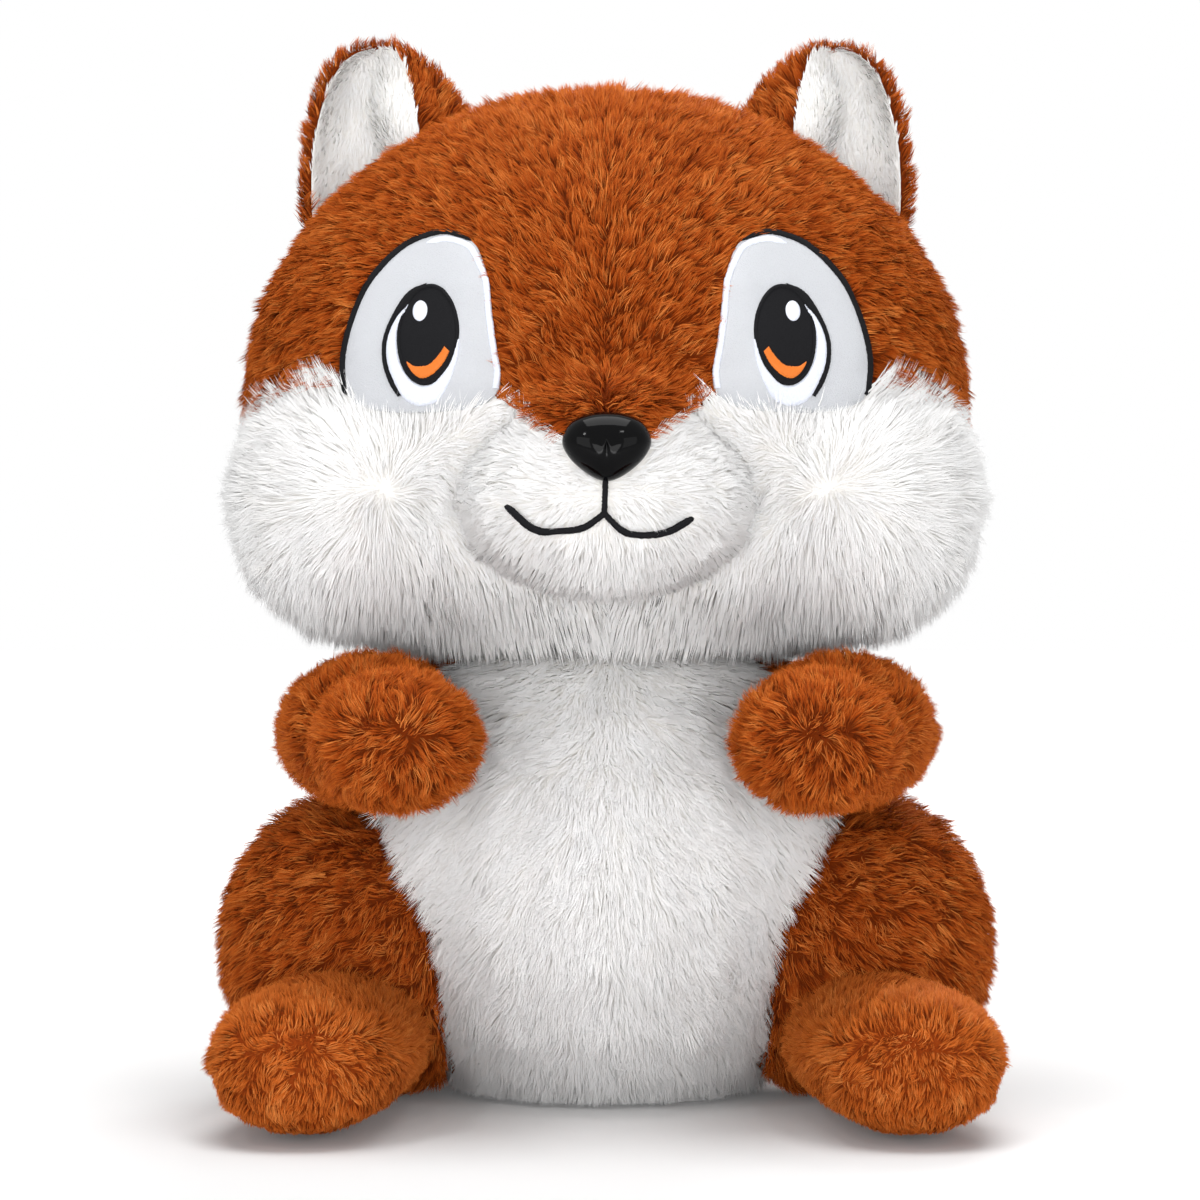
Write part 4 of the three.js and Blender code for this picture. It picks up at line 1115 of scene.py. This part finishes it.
def satin_band(name, side, nodes, one_edge, other_edge, lift, height, finish, seed, across=6):
    """A band of satin stitches between two lines: every stitch is a thread from line to line."""
    rng = np.random.default_rng(seed)
    run = run_along((one_edge + other_edge) / 2)
    stitches = max(4, int(run[-1] / THREAD))
    at = np.linspace(0, run[-1], stitches * ROWS_PER_STITCH + 1)
    low, high = (at_lengths(at, run, edge) for edge in (one_edge, other_edge))
    ragged = np.repeat(rng.normal(size=(stitches + 1, 2)) * RAGGED, ROWS_PER_STITCH, axis=0)[: len(at)]
    step = high - low
    wide = np.linalg.norm(step, axis=1, keepdims=True)
    way = step / np.maximum(wide, 1e-6)
    grow = np.minimum(1, wide / 1.0)
    low = low + way * ragged[:, :1] * grow
    high = high + way * ragged[:, 1:] * grow
    thread = np.abs(np.sin(np.arange(len(at)) * math.pi / ROWS_PER_STITCH))
    points = []
    for i in range(len(at)):
        puff = height * min(1.0, wide[i, 0] / 1.2)
        for j in range(across + 1):
            share = 0.5 - 0.5 * math.cos(math.pi * j / across)
            x, z = low[i] + (high[i] - low[i]) * share
            bulge = math.sqrt(max(0.0, 1 - (2 * share - 1) ** 2))
            rise = lift + puff * bulge + (THREAD_RELIEF * thread[i] if 0 < j < across else -0.5)
            points.append(on_head(x * side, z, rise))
    stride = across + 1
    faces = [
        (i * stride + j, i * stride + j + 1, (i + 1) * stride + j + 1, (i + 1) * stride + j)
        for i in range(len(at) - 1) for j in range(across)
    ]
    a, b, c = (points[faces[len(faces) // 2][k]] for k in range(3))
    if np.cross(b - a, c - a)[1] > 0:
        faces = [face[::-1] for face in faces]
    return sew_on_head(name, points, faces, finish, *nodes)


def edges_beside(line, widths):
    """The two edges of a band along a line, as wide as it is said to be at each point."""
    ahead = unit(np.gradient(line, axis=0))
    beside = np.stack([-ahead[:, 1], ahead[:, 0]], axis=1)
    half = np.asarray(widths)[:, None] / 2
    return line + beside * half, line - beside * half


def thread_finish(slot, chart_colour, roughness=0.5, specular=0.35):
    """The finish of an embroidery thread, together with its slot."""
    colour = linear(*chart_colour)
    made = material(slot, colour, roughness, specular=specular)
    darker = tuple(c * 0.86 for c in colour)
    lighter = tuple(min(1, c * 1.1 + 0.004) for c in colour)
    return add_grain(made, 1500, 0.12 * MM, darker, lighter), slot


velboa_finish = add_grain(
    material("white_velboa", linear(197, 199, 203), 0.9), 2200, 0.25 * MM,
    linear(190, 192, 197), linear(204, 206, 210),
)
velboa = (velboa_finish, "white_velboa")
black_thread = thread_finish("black_thread", (15, 15, 18), 0.7, 0.12)
white_thread = thread_finish("white_thread", (226, 230, 242))
orange_thread = thread_finish("orange_thread", (226, 118, 30))


def ellipse(centre, semi, count=64):
    """An upright oval, tilted a little as the pupil is."""
    angle = np.linspace(0, 2 * math.pi, count, endpoint=False)
    x, z = semi[0] * np.cos(angle), semi[1] * np.sin(angle)
    c, s = math.cos(PUPIL_TILT), math.sin(PUPIL_TILT)
    return np.stack([centre[0] + x * c - z * s, centre[1] + x * s + z * c], axis=1)


PUPIL_TILT = math.radians(4)
PUPIL_CENTRE, PUPIL_SEMI = (62.3, 279.8), (11.0, 17.9)
PUPIL_INSIDE = (PUPIL_SEMI[0] - 1.3, PUPIL_SEMI[1] - 1.6)
CRESCENT_OUTSIDE = [
    (69.3, 290.6), (73.9, 285.2), (76.6, 279), (77.2, 273.5), (76.4, 268.5), (74.3, 263.1), (71.8, 258.5),
    (68.5, 255.7), (63.4, 254.7), (58.4, 256.8), (54.2, 263.1), (51.9, 270.5), (51.2, 277.7),
]
CRESCENT_INSIDE = [
    (69.3, 290.3), (71.8, 285.2), (73.3, 281.1), (73.5, 276.9), (73, 272.7), (71.4, 268.5), (68.9, 264.7),
    (66.5, 262.7), (63.8, 261.8), (60.5, 262.4), (57.4, 264.9), (54, 269.5), (51.6, 277.5),
]
LINE_OUTSIDE = [
    (62.6, 298), (68, 296.2), (71.8, 292.8), (76, 285.2), (78.3, 279), (78.8, 273.5), (78.1, 268.5),
    (76, 262.6), (72.9, 258),
]
LINE_INSIDE = [
    (62.6, 296.2), (66.5, 294.2), (69.5, 290.6), (73.9, 285), (76.5, 279.2), (77.1, 273.5), (76.4, 268.6),
    (74.3, 263.4), (71.6, 258.7),
]
IRIS_LOW = [
    (69.5, 270.1), (68, 267.2), (65.7, 264.9), (63.4, 264.3), (60.5, 265.4), (57.6, 267.9), (55.5, 271),
    (54.4, 273.5),
]
IRIS_HIGH = [
    (69.5, 270.6), (68.1, 269.6), (66.8, 268.9), (63.4, 268.9), (60.9, 269.8), (58.4, 272.3), (57.2, 273.9),
    (56.3, 275.4),
]
def even_line(*corners):
    return smooth_curve(corners, 90)


def closed_ring(semi):
    edge = ellipse(PUPIL_CENTRE, semi)
    return np.concatenate([edge, edge[:1]])


top = even_line(*EYE_OUTLINE[:9], (91.6, 259.5))
top_widths = 2.1 * np.minimum(1, np.minimum(np.linspace(0.25, 12, 90), np.linspace(12, 0.5, 90)))
inner = even_line(*(EYE_OUTLINE[k] for k in (2, 1, 0, 18, 17, 16, 15, 14)), (38, 260))
inward = unit(np.array([[64.0, 282.0]]) - inner)
shift = inward * np.interp(np.linspace(0, 1, 90), [0, 0.3, 0.45, 1], [3.0, 2.2, 0.9, 0.9])[:, None]
pale_widths = 2.4 * np.minimum(1, np.linspace(0.2, 14, 90))
# each piece, the CAD node it stands for, how it is sewn, and with what
EYE_PIECES = [
    ("eye_white", "eye_white", sewn_disc, (eye_edge / MM, 1.5, 0.9, velboa, 14)),
    ("eye_border", "eye_outline", satin_band, (*edges_beside(top, top_widths), 2.0, 0.5, black_thread, 3)),
    (
        "eye_pale_border", None, satin_band,
        (*edges_beside(inner + shift, pale_widths), 2.1, 0.45, white_thread, 4),
    ),
    ("pupil", "pupil", sewn_disc, (ellipse(PUPIL_CENTRE, PUPIL_SEMI), 2.55, 0.35, black_thread, 8)),
    (
        "pupil_ring", None, satin_band,
        (closed_ring(PUPIL_SEMI), closed_ring(PUPIL_INSIDE), 2.7, 0.45, black_thread, 5, 4),
    ),
    (
        "eye_crescent", "eye_crescent", satin_band,
        (
            smooth_curve(CRESCENT_OUTSIDE, 110), smooth_curve(CRESCENT_INSIDE, 110),
            2.8, 0.5, white_thread, 6,
        ),
    ),
    (
        "eye_outer_line", None, satin_band,
        (even_line(*LINE_OUTSIDE), even_line(*LINE_INSIDE), 2.85, 0.45, black_thread, 7, 4),
    ),
    (
        "iris", "iris", satin_band,
        (smooth_curve(IRIS_LOW, 60), smooth_curve(IRIS_HIGH, 60), 2.95, 0.4, orange_thread, 8),
    ),
    ("glint", "glint", sewn_disc, (ellipse((64.9, 288), (2.65, 3.7), 32), 2.95, 0.35, white_thread, 5)),
]
for side_name, side in SIDES:
    for piece, node, sew, how in EYE_PIECES:
        nodes = [f"{node}_{side_name}"] if node else []
        sewn = sew(f"{piece}_{side_name}", side, nodes, *how)

# Nose and mouth: one glossy black moulding with its post through the muzzle, held by a
# locking washer inside, and a mouth of black satin stitches pulled into the pile.
black_plastic = material("black_plastic", linear(5, 5, 6), 0.06, specular=0.09)
add_grain(black_plastic, 420, 0.01 * MM, linear(4, 4, 5), linear(7, 7, 8))
finish_node("nose_washer", add_grain(
    material("clear_plastic", linear(226, 228, 230), 0.3), 700, 0.04 * MM,
    linear(214, 217, 220), linear(236, 238, 240),
))
NOSE_HALF = [(5.8, 11.4), (11.2, 9.2), (14.4, 5.4), (15.2, 1), (12.9, -3.6), (9.2, -7.4), (4.6, -10.6)]
NOSE_OUTLINE = [(0, 12), *NOSE_HALF, (0, -12), *((-x, z) for x, z in NOSE_HALF[::-1])]
NOSE_AT = np.array([0, -142.5, 238.2])
NOSE_TILT = math.radians(14)
NOSE_DOME = 9.5
nose_edge = smooth_curve(NOSE_OUTLINE, 72, closed=True)
nose_rows = []
for turn in np.linspace(0.02, 1, 16) * math.pi / 2:
    nose_rows.append((math.sin(turn), -NOSE_DOME * math.cos(turn) ** 0.85))
nose_rows += [(0.985, 1.3), (0.93, 2.4), (0.6, 2.9), (0.14, 3.0), (0.14, 14.0), (0.1, 15.5)]
c, s = math.cos(NOSE_TILT), math.sin(NOSE_TILT)
nose_points = []
for share, depth in nose_rows:
    keel = 1 - 0.1 * np.exp(-(nose_edge[:, 0] / 2.4) ** 2) * (nose_edge[:, 1] < 0) * (share < 0.97)
    y = depth * (keel if depth < 0 else 1) * np.ones(len(nose_edge))
    x, z = nose_edge[:, 0] * share, nose_edge[:, 1] * share
    nose_points.append(np.stack([x, y * c + z * s, z * c - y * s], axis=1) + NOSE_AT)
count = len(nose_edge)
last_row = (len(nose_rows) - 1) * count
nose_faces = ring_faces(len(nose_rows), count)
nose_faces += [tuple(range(count))[::-1], tuple(last_row + k for k in range(count))]
add_piece(
    "nose_moulding", (np.concatenate(nose_points) * MM).tolist(), nose_faces, black_plastic, "head",
    "black_plastic", "nose",
)

for i, line in enumerate(MOUTH_LINES):
    widths = np.full(80, 2.0) * np.minimum(1, np.linspace(9, 0.45, 80) if i else 1)
    edges = edges_beside(smooth_curve(line, 80), widths)
    satin_band(f"mouth_stitches_{i + 1}", 1, ["mouth_stitch"], *edges, 2.9, 0.9, black_thread, 20 + i)

# Ears: a back of brown fur fabric and a lining of short white pile, sewn round the rim
# and folded into a deep cup that opens forwards and outwards. The lower end is tucked
# under the crown seam, where the ear hinges.
EAR_HEIGHTS = [316, 325, 335, 345, 355, 365, 374, 381, 387, 391.5, 395, 397]
LATERAL_X = [111.5, 113.5, 114.4, 114.5, 114, 112.6, 110.6, 108.4, 105.4, 102, 97.2, 90.5]
RIM_X = [66, 67, 68, 69, 70, 71.2, 72.8, 74.6, 75.8, 77, 79.4, 83.4]
MEDIAL_X = [48, 47, 46, 45.5, 46.5, 50.5, 55.5, 60.5, 65.5, 70.5, 75.5, 81]
GROOVE_X = [80, 81.5, 83.5, 85.5, 87.5, 90.3, 92, 92, 91, 89, 87, 85.2]
CUP = [1, 1, 1, 1, 1, 0.97, 0.9, 0.81, 0.7, 0.56, 0.38, 0.16]
LOBE = [1, 1, 1, 1, 1, 0.9, 0.62, 0.3, 0.05, 0, 0, 0]
EAR_Y = [2, 1, 0, 0, 0, 1, 2, 3, 4, 5, 6, 6.5]
EAR_ROWS = 34
EAR_STEPS = 80
LINING_STEPS = 34


def ear_section(z):
    """The loop of one ear at a height: from the outer rim over the lining to the inner rim and back."""
    lines = (LATERAL_X, RIM_X, MEDIAL_X, GROOVE_X, CUP, LOBE, EAR_Y)
    lateral, rim, medial, groove, cup, lobed, y0 = (np.interp(z, EAR_HEIGHTS, line) for line in lines)
    wide = lateral - groove
    lobe = groove - rim
    flank = rim - medial
    lining = [
        (lateral - 2.6, -1.5 * cup), (lateral - 0.3 * wide, 6 * cup), (lateral - 0.6 * wide, 12 * cup),
        (groove + 0.12 * wide, 13 * cup), (groove - 0.1 * lobe, (13 - 4 * lobed) * cup),
        (groove - 0.3 * lobe, 11 * cup * (1 - lobed)), (groove - 0.62 * lobe, (6 - 13 * lobed) * cup),
        (rim, (1 - 10.5 * lobed) * cup),
    ]
    back = [
        (rim, (1 - 10.5 * lobed) * cup), (rim - 0.2 * flank, (2 - 9.5 * lobed) * cup),
        (medial + 0.3 * flank, 4 * cup * (1 - lobed)),
        (medial + 0.02 * flank, 9 * cup), (medial + 0.12 * flank, 18 * cup), (rim, 25 * cup + 1),
        (groove, 25 * cup + 1.5), (lateral - 0.5 * wide, 19 * cup + 1.5),
        (lateral - 0.08 * wide, 9 * cup + 1),
        (lateral, 1 * cup), (lateral - 1, -2 * cup), (lateral - 2.6, -1.5 * cup),
    ]
    loop = np.concatenate([
        smooth_curve(lining, LINING_STEPS + 1)[:-1],
        smooth_curve(back, EAR_STEPS - LINING_STEPS + 1)[:-1],
    ])
    return np.stack([loop[:, 0], loop[:, 1] + y0, np.full(EAR_STEPS, z)], axis=1)


ear_rise = np.sin(np.linspace(0, 1, EAR_ROWS) * math.pi / 2)
ear_loops = [ear_section(z) for z in EAR_HEIGHTS[0] + (EAR_HEIGHTS[-1] - EAR_HEIGHTS[0]) * ear_rise]
tip = ear_loops[-1].mean(axis=0) + [0, 0, 0.3]
foot_point = ear_loops[0].mean(axis=0)
ear_points = np.concatenate(ear_loops + [tip[None, :], foot_point[None, :]]) * MM
ear_triangles, ear_lined = [], []
for row in range(EAR_ROWS - 1):
    for k in range(EAR_STEPS):
        a, b = row * EAR_STEPS + k, row * EAR_STEPS + (k + 1) % EAR_STEPS
        ear_triangles += [(a, b, b + EAR_STEPS), (a, b + EAR_STEPS, a + EAR_STEPS)]
        ear_lined += [k < LINING_STEPS and row < EAR_ROWS - 3] * 2
last = (EAR_ROWS - 1) * EAR_STEPS
ear_triangles += [(last + k, last + (k + 1) % EAR_STEPS, EAR_ROWS * EAR_STEPS) for k in range(EAR_STEPS)]
ear_triangles += [((k + 1) % EAR_STEPS, k, EAR_ROWS * EAR_STEPS + 1) for k in range(EAR_STEPS)]
ear_triangles = np.array(ear_triangles)
lining = np.array(ear_lined + [False] * (2 * EAR_STEPS))
ear_white = pile_material(
    "ear_lining_pile", (246, 243, 239), (251, 250, 248), (254, 254, 253), (255, 255, 255),
    roughness=0.9, sheen=0.3,
)
EAR_FUR = (white_backing, ear_white, "white_fur")
EAR_BACK_PILE = {**BROWN, "bunch": 0.45, "tuft": 4.5, "swirl": 0.5}
EAR_LINING_PILE = {
    "width": 0.36, "wisp": 1.3, "gather": 0.35, "tuft": 4, "bunch": 0.1, "lean": (0.7, 1.25),
    "rounding": 0.95,
}


def ear_back_comb(p):
    out = (np.abs(p[:, 0]) - 0.086) * np.sign(p[:, 0])
    return flow(p, out * 0.8, 0.004, 0.03)


def ear_lining_comb(p):
    return flow(p, 0, -0.3, 1.0)


for side_name, side in SIDES:
    body = f"ear_{side_name}"
    points = ear_points * np.array([side, 1, 1])
    triangles = ear_triangles if side < 0 else ear_triangles[:, ::-1]
    ear_skin = Skin.from_surface(points, triangles)
    a, b, c = (points[triangles[:, k]] for k in range(3))
    if np.sum((ear_skin.middles - points.mean(axis=0)) * np.cross(b - a, c - a)) < 0:
        ear_skin = Skin.from_surface(points, triangles[:, ::-1])
    back, inside = f"ear_back_{side_name}", f"ear_lining_{side_name}"
    sew_panel(back, ear_skin, ~lining, brown_backing, body, "brown_fur", back)
    sew_panel(inside, ear_skin, lining, white_backing, body, "white_fur", f"ear_inner_{side_name}")
    rng = np.random.default_rng(90 + side)
    grow_on(
        back, ear_skin, ~lining, BROWN_FUR, body, ear_back_comb, 7.0, 1.9,
        ["crown_left", "crown_right", "head_back"], seed=92 + side, rng=rng, **EAR_BACK_PILE,
    )
    grow_on(
        inside, ear_skin, lining, EAR_FUR, body, ear_lining_comb, 4.5, 2.8, seed=94 + side, rng=rng,
        **EAR_LINING_PILE,
    )
